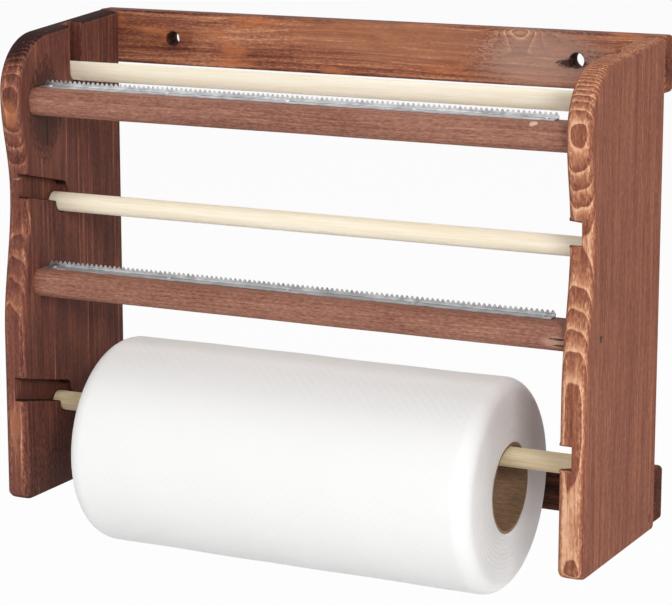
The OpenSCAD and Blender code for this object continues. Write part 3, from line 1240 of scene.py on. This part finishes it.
    def build(self) -> bpy.types.Object:
        """Builds the panel from an outer layer with the plain outline and an inner one with the grooves.

        Returns:
            The panel.
        """
        extent = self.piece.extent()
        corner = extent.low[1:]
        outer, inner = self.side.faces(extent)
        floor = inner + self.side.value * self.groove_depth
        low_seat, middle_seat, top_seat = (Extent.of(level + "_dowel").middle[1:] - corner
                                           for level in ("bottom", "middle", "top"))
        rest = self.outline(*(extent.high[1:] - corner))
        plain, cut, inside, floors = [], [], [], []
        for groove in (self.hook(low_seat), self.hook(middle_seat), self.slot(top_seat)):
            before, mouth, walls, rest = self.notch(rest, groove)
            plain += [before, mouth]
            cut += [before, walls]
            count = np.arange(len(walls))
            from_mouth = smoothstep(0.0, self.fade_points, np.minimum(count, count[::-1]))
            inside += [np.zeros(len(before)), from_mouth]
            floors.append(np.concatenate([mouth, walls[-2:0:-1]]) + corner)
        plain = np.concatenate([*plain, rest]) + corner
        cut = np.concatenate([*cut, rest]) + corner
        inside = np.concatenate([*inside, np.zeros(len(rest))])
        # Inside the grooves the share of edge drops, which darkens their walls as painted shade
        edge = 1.0 + (self.shaded_groove_edge - 1.0) * inside
        outer_band, outer_rim = eased_band(Lie.SIDEWAYS, plain, *self.rims(plain, 0.0), outer, floor)
        inner_band, inner_rim = eased_band(Lie.SIDEWAYS, cut, *self.rims(cut, inside), inner, floor, edge)
        out = axis_vector(0, self.side.value)
        patches = [outer_band, inner_band, Patch.cap(outer_rim, out), Patch.cap(inner_rim, -out)]
        patches += [Patch.cap(Lie.SIDEWAYS.place(*bottom.T, floor), -out) for bottom in floors]
        return self.piece.build(patches, self.finish.material())


def wall_mount() -> dict:
    """The record's mount for the wall screws."""
    return next(mount for mount in frame["record"]["mounts"] if mount["name"] == "wall_screw_holes")


@dataclass
class BackRail:
    """A rail across the panels' backs, with countersunk screws and, on the top rail, two wall holes."""

    piece: Piece
    screws: str
    finish: StainedPine
    wall_holes: bool
    corner_r: float = 2.4 * MM
    ease: float = 1.7 * MM
    hole_ease: float = 0.35 * MM
    hole_edge: float = 0.6
    hole_sides: int = 40
    sink_r: float = 3.6 * MM
    sink: float = 0.4 * MM
    sink_sides: int = 32
    head_play: float = 0.1 * MM
    cone: float = 1.75 * MM
    pilot_r: float = 1.85 * MM
    pilot: float = 8.0 * MM
    step: float = 4.0 * MM

    def build(self) -> bpy.types.Object:
        """Builds the rail: two eased bands, two faces with holes, and the holes' walls.

        Returns:
            The rail.
        """
        extent = self.piece.extent()
        path = rounded_rectangle(extent.low[[0, 2]], extent.high[[0, 2]], [self.corner_r] * 4, self.step)
        front, back = extent.low[1], extent.high[1]
        patches, front_holes, back_holes = [], [], []
        for centre in self.wall_hole_places():
            wall, rings = self.hole(centre, self.wall_hole_profile(front, back), self.hole_sides)
            patches.append(wall)
            front_holes.append(rings[0])
            back_holes.append(rings[-1])
        for centre in self.screw_places():
            wall, rings = self.hole(centre, self.sink_profile(back), self.sink_sides)
            patches += [wall, Patch.cap(rings[-1], axis_vector(1))]
            back_holes.append(rings[0])
        for face, way, holes in ((front, -1.0, front_holes), (back, 1.0, back_holes)):
            band, rim = eased_band(Lie.ON_WALL, path, self.ease, self.ease, face, (front + back) / 2.0)
            patches += [band, Patch.cap(rim, axis_vector(1, way), tuple(holes))]
        return self.piece.build(patches, self.finish.material())

    def hole(self, centre: Array, profile: Array, sides: int) -> tuple[Patch, Array]:
        """Wall of a round hole along y.

        Args:
            centre: A point on the hole's axis, at depth 0.
            profile: Depth and radius at each row of the wall.
            sides: Points round the hole.

        Returns:
            The patch, which faces the axis, and its points by row and side.
        """
        points, spoke = turned(1, centre, profile[:, :1], profile[:, 1:], sides)
        normals = grid_normals(points, -spoke, Wrap.COLUMNS)
        return Patch.grid(points, normals, Wrap.COLUMNS, self.hole_edge), points

    def wall_hole_places(self) -> list[Array]:
        """Centres of the wall holes, from the mount in the record.

        Returns:
            A point on each hole's axis, or none on a rail without wall holes.
        """
        if not self.wall_holes:
            return []
        mount = wall_mount()
        half = mount["dims"]["spacing_x_mm"] * MM / 2.0
        return [np.array([x, 0.0, mount["pos_m"][2]]) for x in (-half, half)]

    def wall_hole_profile(self, front: float, back: float) -> Array:
        """Profile of a wall hole, with a quarter circle at each rim.

        Args:
            front: Depth of the rail's front face.
            back: Depth of its back face.

        Returns:
            Depth and radius at each row of the hole's wall.
        """
        cos, sin = sweep(90.0, 6)
        drop = self.hole_ease * (1.0 - cos)
        radius = wall_mount()["dims"]["hole_r_mm"] * MM + self.hole_ease * (1.0 - sin)
        return np.concatenate([np.stack([front + drop, radius], 1), np.stack([back - drop, radius], 1)[::-1]])

    def screw_places(self) -> list[Array]:
        """Centres of the four screw heads, from the corners of the screws' box.

        Returns:
            A point on each screw's axis.
        """
        screws = Extent.of(self.screws)
        head_r = self.sink_r - self.head_play
        low, high = screws.low + head_r, screws.high - head_r
        return [np.array([x, 0.0, z]) for x in (low[0], high[0]) for z in (low[2], high[2])]

    def sink_profile(self, back: float) -> Array:
        """Depth and radius along a countersunk screw hole."""
        return np.array([[back, self.sink_r], [back - self.sink, self.sink_r],
                         [back - self.sink - self.cone, self.pilot_r], [back - self.pilot, self.pilot_r]])


@dataclass
class CutterBar:
    """A bar between the panels, well rounded in front and eased at the back.

    Two waves along x make it uneven. The second has a share of the first one's height and runs ahead of it.
    """

    piece: Piece
    finish: StainedPine
    front_r: float = 5.0 * MM
    back_r: float = 2.0 * MM
    edge: float = 0.5
    unevenness: float = 0.12 * MM
    long_wave: float = 31.0 * MM
    short_wave: float = 11.3 * MM
    short_share: float = 0.6
    short_ahead: float = 2.1
    step: float = 0.9 * MM
    rows: int = 120

    def build(self) -> bpy.types.Object:
        """Carries the section along x, a little unevenly and just within the solid, and closes its ends.

        Returns:
            The bar.
        """
        extent = self.piece.extent()
        radii = [self.front_r, self.front_r, self.back_r, self.back_r]
        section = rounded_rectangle(extent.low[1:], extent.high[1:], radii, self.step)
        along = np.linspace(extent.low[0], extent.high[0], self.rows)[:, None]
        phase = self.finish.seed
        short = np.sin(along / self.short_wave + self.short_ahead * phase)
        wave = np.sin(along / self.long_wave + phase) + self.short_share * short
        dip = self.unevenness * (wave * 0.35 - 0.6)
        across, up = outward(section).T
        points = Lie.SIDEWAYS.place(section[:, 0] + across * dip, section[:, 1] + up * dip, along)
        facing = Lie.SIDEWAYS.place(across, up, np.zeros_like(along))
        patches = [Patch.grid(points, facing, Wrap.COLUMNS, self.edge), *end_caps(points)]
        return self.piece.build(patches, self.finish.material())


@dataclass
class SerratedStrip:
    """A folded steel strip: a flange on the bar and a leg whose upper edge is cut into teeth."""

    piece: Piece
    finish: ZincSteel
    sheet: float = 0.5 * MM
    bend_r: float = 0.35 * MM
    bend_steps: int = 6
    tooth_pitch: float = 2.7 * MM
    tooth_h: float = 1.7 * MM
    tip_share: float = 0.1

    def tooth_line(self, start: float, end: float) -> tuple[Array, Array]:
        """Whole teeth along the strip, each up to a narrow flat tip and down, with a level rest at both ends.

        Args:
            start: Lowest x of the strip.
            end: Its highest x.

        Returns:
            Stations along x, and how far the leg rises above the teeth's roots there.
        """
        count = int((end - start) / self.tooth_pitch)
        spare = (end - start - count * self.tooth_pitch) / 2.0
        shares = np.array([0.0, 0.5 - self.tip_share / 2.0, 0.5 + self.tip_share / 2.0])
        teeth = start + spare + (np.arange(count)[:, None] + shares).ravel() * self.tooth_pitch
        stations = np.concatenate([[start], teeth, [end - spare, end]])
        rises = np.concatenate([[0.0], np.tile([0.0, self.tooth_h, self.tooth_h], count), [0.0, 0.0]])
        return stations, rises

    def build(self) -> bpy.types.Object:
        """Carries the folded section along x, with the leg's top following the teeth.

        Returns:
            The strip.
        """
        extent = self.piece.extent()
        front, foot = extent.low[1:]
        back, root = extent.high[1:] - [0.0, self.tooth_h]
        stations, rises = self.tooth_line(extent.low[0], extent.high[0])
        outer_r = self.bend_r + self.sheet
        bend = (back - outer_r, foot + outer_r)
        stretches = [np.array([[front, foot]]), arc(bend, outer_r, -90.0, 0.0, self.bend_steps),
                     np.array([[back, root]]), np.array([[back - self.sheet, root]]),
                     arc(bend, self.bend_r, 0.0, -90.0, self.bend_steps),
                     np.array([[front, foot + self.sheet]])]
        patches, section = [], []
        for stretch, following in zip(stretches, stretches[1:] + stretches[:1]):
            for run in (stretch, np.stack([stretch[-1], following[0]])):
                if len(run) == 1:
                    continue
                height = run[:, 1] + (run[:, 1] >= root) * rises[:, None]
                points = Lie.SIDEWAYS.place(run[:, 0], height, stations[:, None])
                slope = np.gradient(run, axis=0)
                away = Lie.SIDEWAYS.place(slope[:, 1], -slope[:, 0], np.zeros((len(stations), 1)))
                patches.append(Patch.grid(points, unit(away), Wrap.NONE))
                section.append(points[:, :-1])
        patches += end_caps(np.concatenate(section, axis=1))
        return self.piece.build(patches, self.finish.material())


@dataclass
class StripTacks:
    """A row of domed tacks through a strip's flange."""

    piece: Piece
    strip: str
    finish: ZincSteel
    count: int = 5
    head_r: float = 1.5 * MM
    head_h: float = 0.7 * MM
    rim_share: float = 0.25
    dome_deg: float = 82.0
    shank_r: float = 0.6 * MM
    point_r: float = 0.24 * MM
    point_h: float = 2.0 * MM
    sheet: float = 0.5 * MM
    sides: int = 20

    def build(self) -> bpy.types.Object:
        """Turns each tack on its own upright axis: point, shank, rim and a dome that ends in a small flat.

        Returns:
            The row of tacks.
        """
        extent = self.piece.extent()
        point, seat = extent.low[2], Extent.of(self.strip).low[2] + self.sheet
        cos, sin = sweep(self.dome_deg, 8)
        heights = seat + self.head_h * (self.rim_share + (1.0 - self.rim_share) * sin)
        shank = [[point, self.point_r], [point + self.point_h, self.shank_r], [seat, self.shank_r]]
        dome = np.stack([heights, self.head_r * cos], 1)
        profile = np.concatenate([shank, [[seat, self.head_r]], dome])
        ends = profile[[0, -1]]
        patches = []
        for x in np.linspace(extent.low[0] + self.head_r, extent.high[0] - self.head_r, self.count):
            centre = np.array([x, extent.middle[1], 0.0])
            patches += turned_patches(2, centre, profile, self.sides, (1, 2, 3))
            patches += end_caps(turned(2, centre, ends[:, :1], ends[:, 1:], self.sides)[0], 2)
        return self.piece.build(patches, self.finish.material())


@dataclass
class Dowel:
    """A loose round rod along x with broken end edges."""

    piece: Piece
    finish: BareWood
    break_r: float = 1.1 * MM
    unevenness: float = 0.06 * MM
    wave: float = 17.0 * MM
    sides: int = 48
    rows: int = 90

    def build(self) -> bpy.types.Object:
        """Turns the rod on x: the radius ripples a little, and a quarter circle breaks each end.

        Returns:
            The rod.
        """
        extent = self.piece.extent()
        cos, sin = sweep(90.0, 7)
        half, _, radius = extent.half
        rim = np.stack([self.break_r * (1.0 - sin) - half, radius - self.break_r * (1.0 - cos)], 1)
        profile = there_and_back(rim[::-1], self.rows)
        phase = self.finish.seed
        ripple = np.sin(profile[:, :1] / self.wave + phase) * np.sin(2.0 * turns(self.sides) + phase)
        reach = profile[:, 1:] - self.unevenness * (0.5 + 0.5 * ripple)
        points, spoke = turned(0, extent.middle, profile[:, :1], reach, self.sides)
        normals = grid_normals(points, spoke, Wrap.COLUMNS)
        patches = [Patch.grid(points, normals, Wrap.COLUMNS), *end_caps(points)]
        return self.piece.build(patches, self.finish.material())


@dataclass
class PaperRoll:
    """A roll of embossed tissue, wound on its core, with soft end edges and a free tail at the back.

    The side lies side_in below the solid's, and the embossing is full from full_in below the solid's.
    """

    piece: Piece
    core: str
    edge_r: float = 9.0 * MM
    edge_points: int = 15
    face_rows: int = 40
    bore_rows: int = 8
    core_gap: float = 0.1 * MM
    side_in: float = 0.3 * MM
    full_in: float = 0.4 * MM
    sheet: float = 0.45 * MM
    emboss_pitch: float = 5.2 * MM
    emboss_depth: float = 0.12 * MM
    puff: float = 0.12 * MM
    long_puff: float = 23.0 * MM
    short_puff: float = 9.0 * MM
    layer_pitch: float = 2.3 * MM
    layer_depth: float = 0.2 * MM
    tail_angle: float = math.radians(310.0)
    sides: int = 288
    rows: int = 176

    def profile(self, half: float, bore_r: float, radius: float) -> Array:
        """Closed section of the roll: end face, rounded edge, side, the other end, and back by the bore.

        Args:
            half: Half the roll's length.
            bore_r: Radius of the bore.
            radius: Radius of the side.

        Returns:
            Station and radius at each point.
        """
        cos, sin = sweep(90.0, self.edge_points)
        flat = radius - self.edge_r
        face = np.stack([np.full(self.face_rows, -half), np.linspace(bore_r, flat, self.face_rows)], 1)
        edge = np.stack([-half + self.edge_r * (1.0 - cos), flat + self.edge_r * sin], 1)
        bore_run = np.linspace([half, bore_r], [-half, bore_r], self.bore_rows)[1:-1]
        return np.concatenate([there_and_back(np.concatenate([face, edge[1:]]), self.rows), bore_run])

    def build(self) -> bpy.types.Object:
        """Winds the section round x and presses the embossing, the layers and the tail into it.

        The side carries dots on a diamond lattice, cos * cos of the two ways across it, and two slow waves.
        The outer sheet comes in by one thickness over a turn and ends in a step. The ends ripple with the
        layers.

        Returns:
            The roll.
        """
        extent = self.piece.extent()
        half, _, radius = extent.half
        bore_r = Extent.of(self.core).half[2] + self.core_gap
        profile = self.profile(half, bore_r, radius - self.side_in)
        station, reach = profile[:, :1], profile[:, 1:]
        turn = turns(self.sides)
        outside = smoothstep(radius - self.edge_r, radius - self.full_in, reach)
        ending = smoothstep(0.97, 1.0, np.abs(station) / half) * (1.0 - outside)
        around = np.round(FULL_TURN * radius / self.emboss_pitch) * turn
        dots = np.maximum(np.cos(FULL_TURN * station / self.emboss_pitch) * np.cos(around), 0.0) ** 1.5
        behind = np.mod(turn - self.tail_angle, FULL_TURN) / FULL_TURN
        soft = np.sin(station / self.long_puff + 2.0 * turn)
        soft = soft + 0.7 * np.sin(station / self.short_puff - 3.0 * turn)
        dip = outside * (self.puff * soft - self.emboss_depth * dots - self.sheet * behind)
        wound = np.sin(FULL_TURN * reach / self.layer_pitch + turn + 0.8 * np.sin(3.0 * turn))
        press = ending * self.layer_depth * 0.5 * (wound - 1.0) * np.sign(-station)
        points, spoke = turned(0, extent.middle, station - press, reach + dip, self.sides)
        rough = spoke * np.where(np.isclose(reach, bore_r), -1.0, 1.0)[..., None]
        rough[..., 0] = ending * np.sign(station)
        normals = grid_normals(points, rough, Wrap.BOTH)
        # The dots' share goes on the wear mark, which paints shade into the embossed dimples
        patch = Patch.grid(points, normals, Wrap.BOTH, wear_and_shading=outside * dots)
        finish = EmbossedPaper("embossed_paper", tuple(extent.middle / MM))
        return self.piece.build([patch], finish.material())


@dataclass
class CoreTube:
    """The cardboard tube inside the roll, with a shallow spiral seam."""

    piece: Piece
    wall: float = 1.2 * MM
    rim_r: float = 0.4 * MM
    seam_pitch: float = 74.0 * MM
    seam_depth: float = 0.2 * MM
    seam_share: float = 0.02
    sides: int = 96
    rows: int = 120

    def build(self) -> bpy.types.Object:
        """Winds the tube's closed section round x and sinks the seam into its inner wall.

        The seam is seam_depth * exp(-(d / seam_share)^2) deep at d turns from its middle.

        Returns:
            The tube.
        """
        extent = self.piece.extent()
        half, _, outer = extent.half
        inner = outer - self.wall
        cos, sin = sweep(90.0, 5)
        drop, lift = self.rim_r * (1.0 - cos) - half, self.rim_r * (1.0 - sin)
        inside = there_and_back(np.stack([drop, inner + lift], 1), self.rows)
        outside = there_and_back(np.stack([drop, outer - lift], 1), 3)
        profile = np.concatenate([inside, outside[::-1]])
        seam = np.mod(profile[:, :1] / self.seam_pitch + turns(self.sides) / FULL_TURN, 1.0)
        sunk = self.seam_depth * np.exp(-(np.minimum(seam, 1.0 - seam) / self.seam_share) ** 2)
        within = np.isclose(profile[:, 1:], inner)
        reach = profile[:, 1:] + within * sunk
        points, spoke = turned(0, extent.middle, profile[:, :1], reach, self.sides)
        normals = grid_normals(points, spoke * np.where(within, -1.0, 1.0)[..., None], Wrap.BOTH)
        finish = BrownBoard("brown_board", tuple(extent.middle / MM), self.seam_pitch / MM)
        return self.piece.build([Patch.grid(points, normals, Wrap.BOTH)], finish.material())


@dataclass
class NailFillers:
    """Dots of putty over the heads of the bar nails, a little proud and uneven, the upper one rubbed."""

    side: Side
    piece: Piece
    proud: float = 0.14 * MM
    spread: float = 0.35 * MM
    sunk: float = 0.05 * MM
    dome_deg: float = 84.0
    sides: int = 28

    def build(self) -> bpy.types.Object:
        """Turns each dot on x: a plug in the hole and a shallow dome whose rim wavers.

        Returns:
            The two dots.
        """
        extent = self.piece.extent()
        way = self.side.value
        face, plug = self.side.faces(extent)
        radius = extent.half[1]
        turn = turns(self.sides)
        waver = 1.0 + 0.08 * np.sin(3.0 * turn + 0.6) + 0.05 * np.sin(5.0 * turn)
        cos, sin = sweep(self.dome_deg, 7)
        stations = np.concatenate([[plug, face - way * self.sunk], face + way * self.proud * sin])[:, None]
        reach = np.concatenate([[radius, radius], (radius + self.spread) * cos])[:, None] * waver
        patches = []
        for z, wear_and_shading in ((extent.low[2] + radius, 0.0), (extent.high[2] - radius, 1.0)):
            points, spoke = turned(0, np.array([0.0, extent.middle[1], z]), stations, reach, self.sides)
            normals = grid_normals(points, spoke + axis_vector(0, way), Wrap.COLUMNS)
            patches += [Patch.grid(points, normals, Wrap.COLUMNS, wear_and_shading=wear_and_shading), *end_caps(points, 0, way)]
        return self.piece.build(patches, DarkFiller(self.piece.name + "_putty").material())


@dataclass
class HiddenSteel:
    """Screws and nails that keep the solids' own shape and only take a finish."""

    node: str
    finish: ZincSteel

    def build(self) -> bpy.types.Object:
        """Dresses the node.

        Returns:
            The node's own object.
        """
        steel = frame["nodes"][self.node]
        steel.data.materials.clear()
        steel.data.materials.append(self.finish.material())
        return steel


def side_panels() -> list[SidePanel]:
    """The two shaped boards, each cut from its own place in the log.

    Returns:
        The left and the right panel.
    """
    red_speck = Blemish((160.0, -22.0, -31.0), (1.5, 1.2, 2.4), srgb(176, 92, 70), 0.7)
    dark_speck = Blemish((160.0, -19.0, -225.0), (2.0, 1.6, 3.0), srgb(98, 52, 44), 0.7)
    right = StainedPine(
        "pine_right", Grain.UPRIGHT, (155.6, -50.0, 0.0), 1.0, phase=0.45, wander=0.2, ripple=0.2,
        end_shade=0.08,
        figures=(Figure((156.0, -110.0, -159.0), (6.0, 8.0, 30.0), 0.9),
                 Figure((155.6, -109.0, -21.0), (3.6, 8.0, 9.0), 0.5),
                 Figure((155.6, -110.0, -234.0), (4.5, 8.0, 11.0), 1.0)),
        blemishes=(red_speck, dark_speck))
    crack = srgb(28, 14, 11)
    # A dark knot with two cracks at the upper bar's left end; its two dark ovals, centred where the bar meets
    # the board, are partly painted shade under and round the bar's end
    knot_and_shade = (Blemish((-147.0, -86.0, -33.0), (5.0, 23.0, 40.0), srgb(134, 82, 66), 0.5),
            Blemish((-147.0, -86.0, -30.0), (5.0, 18.0, 33.0), srgb(62, 37, 32), 0.85),
            Blemish((-147.0, -84.0, -42.0), (3.0, 0.8, 10.0), crack),
            Blemish((-147.0, -72.0, -36.0), (3.0, 0.8, 7.0), crack, 0.7))
    # A pale line along the middle groove's upper lip: rubbed wear and a painted highlight
    lip_wear_and_highlight = Blemish((-150.0, -105.0, -64.8), (7.0, 9.0, 1.0), srgb(206, 158, 128), 0.7)
    upper_glow = Blemish((-153.5, -108.0, -31.0), (5.0, 6.0, 9.0), srgb(198, 126, 84), 0.4)
    lower_glow = Blemish((-153.5, -110.0, -192.0), (4.0, 6.0, 12.0), srgb(196, 130, 94), 0.4)
    grey_foot = Blemish((-153.5, -110.0, -244.0), (9.0, 8.0, 20.0), srgb(104, 74, 64), 0.5, 2.0)
    # Painted shade on the lower inner face by the foot, where the roll's shadow falls
    shaded_foot = Blemish((-147.0, -55.0, -246.0), (5.0, 74.0, 58.0), srgb(52, 34, 30), 0.55, 1.4)
    # The left board's face, edge and darkest tones are set below the right board's: partly painted shade for
    # its inner face, which the holder keeps from the light
    left = StainedPine(
        "pine_left", Grain.UPRIGHT, (-152.0, -54.0, 0.0), 2.0, ring=1.8, phase=0.3, wander=0.4,
        face=(0.22, 0.1), edge=(0.28, 0.33), lined=0.2, fibrous=0.34, patchy=0.35, end_shade=0.6, flush=0.15,
        tones=((0.0, srgb(42, 24, 20)), (0.3, srgb(107, 63, 53)), (0.5, srgb(138, 86, 70)),
               (0.72, srgb(184, 125, 93)), (1.0, srgb(226, 178, 144))),
        figures=(Figure((-153.5, -110.0, -27.0), (5.0, 8.0, 14.0), 0.9),
                 Figure((-153.5, -110.0, -193.0), (5.0, 8.0, 18.0), 1.2),
                 Figure((-147.0, -86.0, -30.0), (6.0, 14.0, 30.0), 6.0, 1.2),
                 Figure((-147.0, -72.0, -4.0), (8.0, 20.0, 24.0), 8.0, 0.6)),
        blemishes=(*knot_and_shade, lip_wear_and_highlight, upper_glow, lower_glow, grey_foot, shaded_foot))
    return [SidePanel(Side.LEFT, Piece("left_panel_board", "left_side_panel"), left),
            SidePanel(Side.RIGHT, Piece("right_panel_board", "right_side_panel"), right)]


def back_rails() -> list[BackRail]:
    """The two rails behind the panels.

    Returns:
        The top and the lower rail.
    """
    tan_patch = Blemish((20.0, -12.0, 6.0), (62.0, 6.0, 13.0), srgb(190, 132, 98), 0.4, 2.0)
    # A broad pale grey patch over the rail's right part: a painted sheen
    grey_sheen = Blemish((96.0, -12.0, 0.0), (40.0, 6.0, 18.0), srgb(186, 156, 142), 0.5, 2.0)
    torn_grain = Blemish((112.0, -12.0, -1.5), (10.0, 4.0, 2.8), srgb(38, 20, 15))
    # Painted shade inside both wall holes, near black, fading out round their rims
    shaded_holes = (Blemish((x, -6.0, 0.0), (6.4, 9.0, 6.4), srgb(16, 8, 6), 1.0) for x in (114.0, -114.0))
    top = StainedPine(
        "pine_top_rail", Grain.LENGTHWISE, (0.0, 38.0, 22.0), 3.0, wander=1.2, face=(0.47, 0.2),
        edge=(0.16, 0.2), end_shade=-0.1, streaky=0.6, fibrous=0.5, patchy=0.7, speckled=0.7, flush=0.8,
        figures=(Figure((84.0, -12.0, 20.0), (11.0, 10.0, 13.0), 9.0, 5.0),),
        blemishes=(tan_patch, grey_sheen, torn_grain, *shaded_holes))
    # The lower rail's tones are set near black: painted shade, for the roll that hangs in front of it
    lower = StainedPine("pine_lower_rail_shaded", Grain.LENGTHWISE, (0.0, 44.0, -190.0), 4.0, wander=1.2,
                        face=(0.08, 0.1), edge=(0.08, 0.1), patchy=0.3, end_shade=0.0)
    return [BackRail(Piece("top_rail_board", "top_back_rail"), "top_rail_screws", top, True),
            BackRail(Piece("lower_rail_board", "lower_back_rail"), "lower_rail_screws", lower, False)]


def cutters() -> list[CutterBar | SerratedStrip | StripTacks]:
    """The two cutter bars with their strips and tacks.

    Returns:
        A bar, a strip and a row of tacks for each of the two levels.
    """
    chip, fray, slit = srgb(225, 190, 165), srgb(196, 156, 134), srgb(54, 32, 25)
    tones = ((0.0, srgb(60, 36, 30)), (0.3, srgb(124, 80, 66)), (0.5, srgb(156, 109, 92)),
             (0.72, srgb(188, 142, 118)), (1.0, srgb(226, 186, 160)))
    marks = {"upper": (Blemish((127.0, -98.0, -19.5), (2.4, 3.0, 1.6), chip),
                       Blemish((128.2, -98.0, -20.4), (2.0, 2.0, 0.5), slit, 0.6)),
             "lower": (Blemish((141.0, -100.0, -121.0), (9.0, 3.0, 3.6), fray, 0.6),
                       Blemish((142.0, -100.0, -119.4), (6.5, 3.0, 0.7), slit),
                       Blemish((143.0, -100.0, -122.4), (5.0, 3.0, 0.6), slit))}
    # Painted light: the upper strip's steel is set lighter than the lower strip's, for the light that falls
    # on each
    painted_light_by_level = {"upper": (0.62, 0.62, 0.625), "lower": (0.56, 0.56, 0.565)}
    built = []
    for level, seed in (("upper", 5.0), ("lower", 6.0)):
        finish = StainedPine("pine_" + level + "_bar", Grain.LENGTHWISE, (0.0, -40.0, -60.0), seed, ring=1.6,
                             face=(0.42, 0.1), edge=(0.42, 0.1), streaky=0.22, fibrous=0.5, patchy=0.25,
                             speckled=0.6, tones=tones, blemishes=marks[level])
        strip = level + "_serrated_strip"
        steel = ZincSteel("zinc_" + level, seed, painted_light_by_level[level])
        heads = Piece(level + "_tack_heads", level + "_strip_tacks", slot="zinc_steel")
        built += [CutterBar(Piece(level + "_bar", level + "_cutter_bar"), finish),
                  SerratedStrip(Piece(level + "_toothed_strip", strip, slot="zinc_steel"), steel),
                  StripTacks(heads, strip, steel)]
    return built


def dowels() -> list[Dowel]:
    """The three loose rods, the lowest painted darker and browner as painted shade with a warm painted
    reflection.
    """
    # The bottom rod's colours carry painted shade and a warm painted reflection of the wood round it
    woods = {"top": BareWood("bare_wood_top", 7.0), "middle": BareWood("bare_wood_middle", 8.0),
             "bottom": BareWood("bare_wood_bottom_shaded", 9.0, srgb(240, 224, 190), srgb(218, 192, 146))}
    return [Dowel(Piece(level + "_rod", level + "_dowel", level + "_dowel", "bare_wood"), wood)
            for level, wood in woods.items()]


def kitchen_roll() -> list[PaperRoll | CoreTube]:
    """The roll of paper and its tube."""
    return [PaperRoll(Piece("wound_paper", "paper_roll", "roll", "white_paper"), "cardboard_core"),
            CoreTube(Piece("core_tube", "cardboard_core", "roll", "brown_board"))]


def fixings() -> list[NailFillers | HiddenSteel]:
    """Putty dots, screws and nails."""
    nodes = ("top_rail_screws", "lower_rail_screws", "upper_bar_nails", "lower_bar_nails")
    return [NailFillers(Side.LEFT, Piece("left_putty_dots", "left_nail_fillers", slot="dark_filler")),
            NailFillers(Side.RIGHT, Piece("right_putty_dots", "right_nail_fillers", slot="dark_filler")),
            *(HiddenSteel(node, ZincSteel("zinc_" + node, seed)) for seed, node in enumerate(nodes, 11))]


# Stage


@dataclass(frozen=True)
class Lamp:
    """A soft square light that looks at the holder."""

    name: str
    place: Triple
    aim: Triple
    size: float
    power: float

    def build(self) -> None:
        """Hangs the light."""
        light = bpy.data.lights.new(self.name, "AREA")
        light.size, light.energy = self.size, self.power
        lamp = bpy.data.objects.new(self.name, light)
        lamp.location = self.place
        lamp.rotation_euler = (Vector(self.aim) - Vector(self.place)).to_track_quat("-Z", "Y").to_euler()
        bpy.context.scene.collection.objects.link(lamp)


@dataclass(frozen=True)
class Viewpoint:
    """The camera of the photograph: turned to the left and dipped, both in radians."""

    place: Triple = (0.57669, -1.20082, 0.14534)
    turn: float = 0.46351
    dip: float = 0.20659
    lens: float = 139.297
    sensor: float = 36.0
    reach: Pair = (0.05, 50.0)

    def build(self) -> None:
        """Sets the scene's camera."""
        level = math.cos(self.dip)
        ahead = Vector((-math.sin(self.turn) * level, math.cos(self.turn) * level, -math.sin(self.dip)))
        camera = bpy.data.objects.new("camera", bpy.data.cameras.new("camera"))
        camera.data.lens, camera.data.sensor_width = self.lens, self.sensor
        camera.data.clip_start, camera.data.clip_end = self.reach
        camera.location = self.place
        camera.rotation_euler = ahead.to_track_quat("-Z", "Y").to_euler()
        bpy.context.scene.collection.objects.link(camera)
        bpy.context.scene.camera = camera


@dataclass(frozen=True)
class Studio:
    """A white room: even light from all round, a pale floor with a faint shadow, and soft lamps."""

    ambient: float = 0.27
    floor_z: float = -0.38
    floor_size: float = 30.0
    floor_colour: Colour = (0.9, 0.9, 0.9)
    floor_glow: float = 0.95
    lamps: tuple[Lamp, ...] = (
        Lamp("key", (1.5, -1.8, 0.75), (0.0, -0.05, -0.1), 0.6, 26.5),
        Lamp("fill", (-0.75, -1.45, 0.5), (0.0, -0.05, -0.1), 1.2, 8.5),
        Lamp("top", (0.0, 0.5, 1.4), (0.0, -0.1, -0.1), 1.2, 11.0),
        Lamp("side", (1.6, -0.25, 0.25), (0.1, -0.06, -0.1), 0.8, 4.5),
    )

    def build(self) -> None:
        """Builds the world, the floor and the lamps, and leaves colours as they are."""
        self.world()
        self.floor()
        for lamp in self.lamps:
            lamp.build()
        bpy.context.scene.view_settings.view_transform = "Standard"

    def world(self) -> None:
        """White where it is seen, plain grey light where it only lights."""
        world = bpy.data.worlds.new("studio")
        bpy.context.scene.world = world
        world.use_nodes = True
        nodes = Nodes(world.node_tree)
        lit, seen = (nodes.node("ShaderNodeBackground", {"Color": WHITE, "Strength": strength}).outputs[0]
                     for strength in (self.ambient, 1.0))
        nodes.node("ShaderNodeOutputWorld", {"Surface": nodes.blend(nodes.direct_rays(), lit, seen)})

    def floor(self) -> None:
        """A pale floor that looks nearly white from the camera and keeps a faint shadow."""
        half = self.floor_size / 2.0
        mesh = bpy.data.meshes.new("floor")
        corners = [(x * half, y * half, self.floor_z) for x, y in ((-1, -1), (1, -1), (1, 1), (-1, 1))]
        mesh.from_pydata(corners, [], [range(4)])
        s = Shader("pale_floor")
        plain = s.node("ShaderNodeBsdfDiffuse", {"Color": self.floor_colour}).outputs[0]
        glow = s.node("ShaderNodeEmission", {"Color": WHITE, "Strength": 1.0}).outputs[0]
        share = s.math("MULTIPLY", s.direct_rays(), self.floor_glow)
        mesh.materials.append(s.close(s.blend(share, plain, glow)))
        floor = bpy.data.objects.new("floor", mesh)
        bpy.context.scene.collection.objects.link(floor)


def main() -> None:
    """Builds the holder in order of assembly, then the stage round it."""
    logging.basicConfig(level=logging.INFO, format="%(message)s")
    for part in (*side_panels(), *back_rails(), *cutters(), *dowels(), *kitchen_roll(), *fixings()):
        built = part.build()
        LOG.info("%s: %d points, %d faces", built.name, len(built.data.vertices), len(built.data.polygons))
    Studio().build()
    Viewpoint().build()


if __name__ == "__main__":
    main()
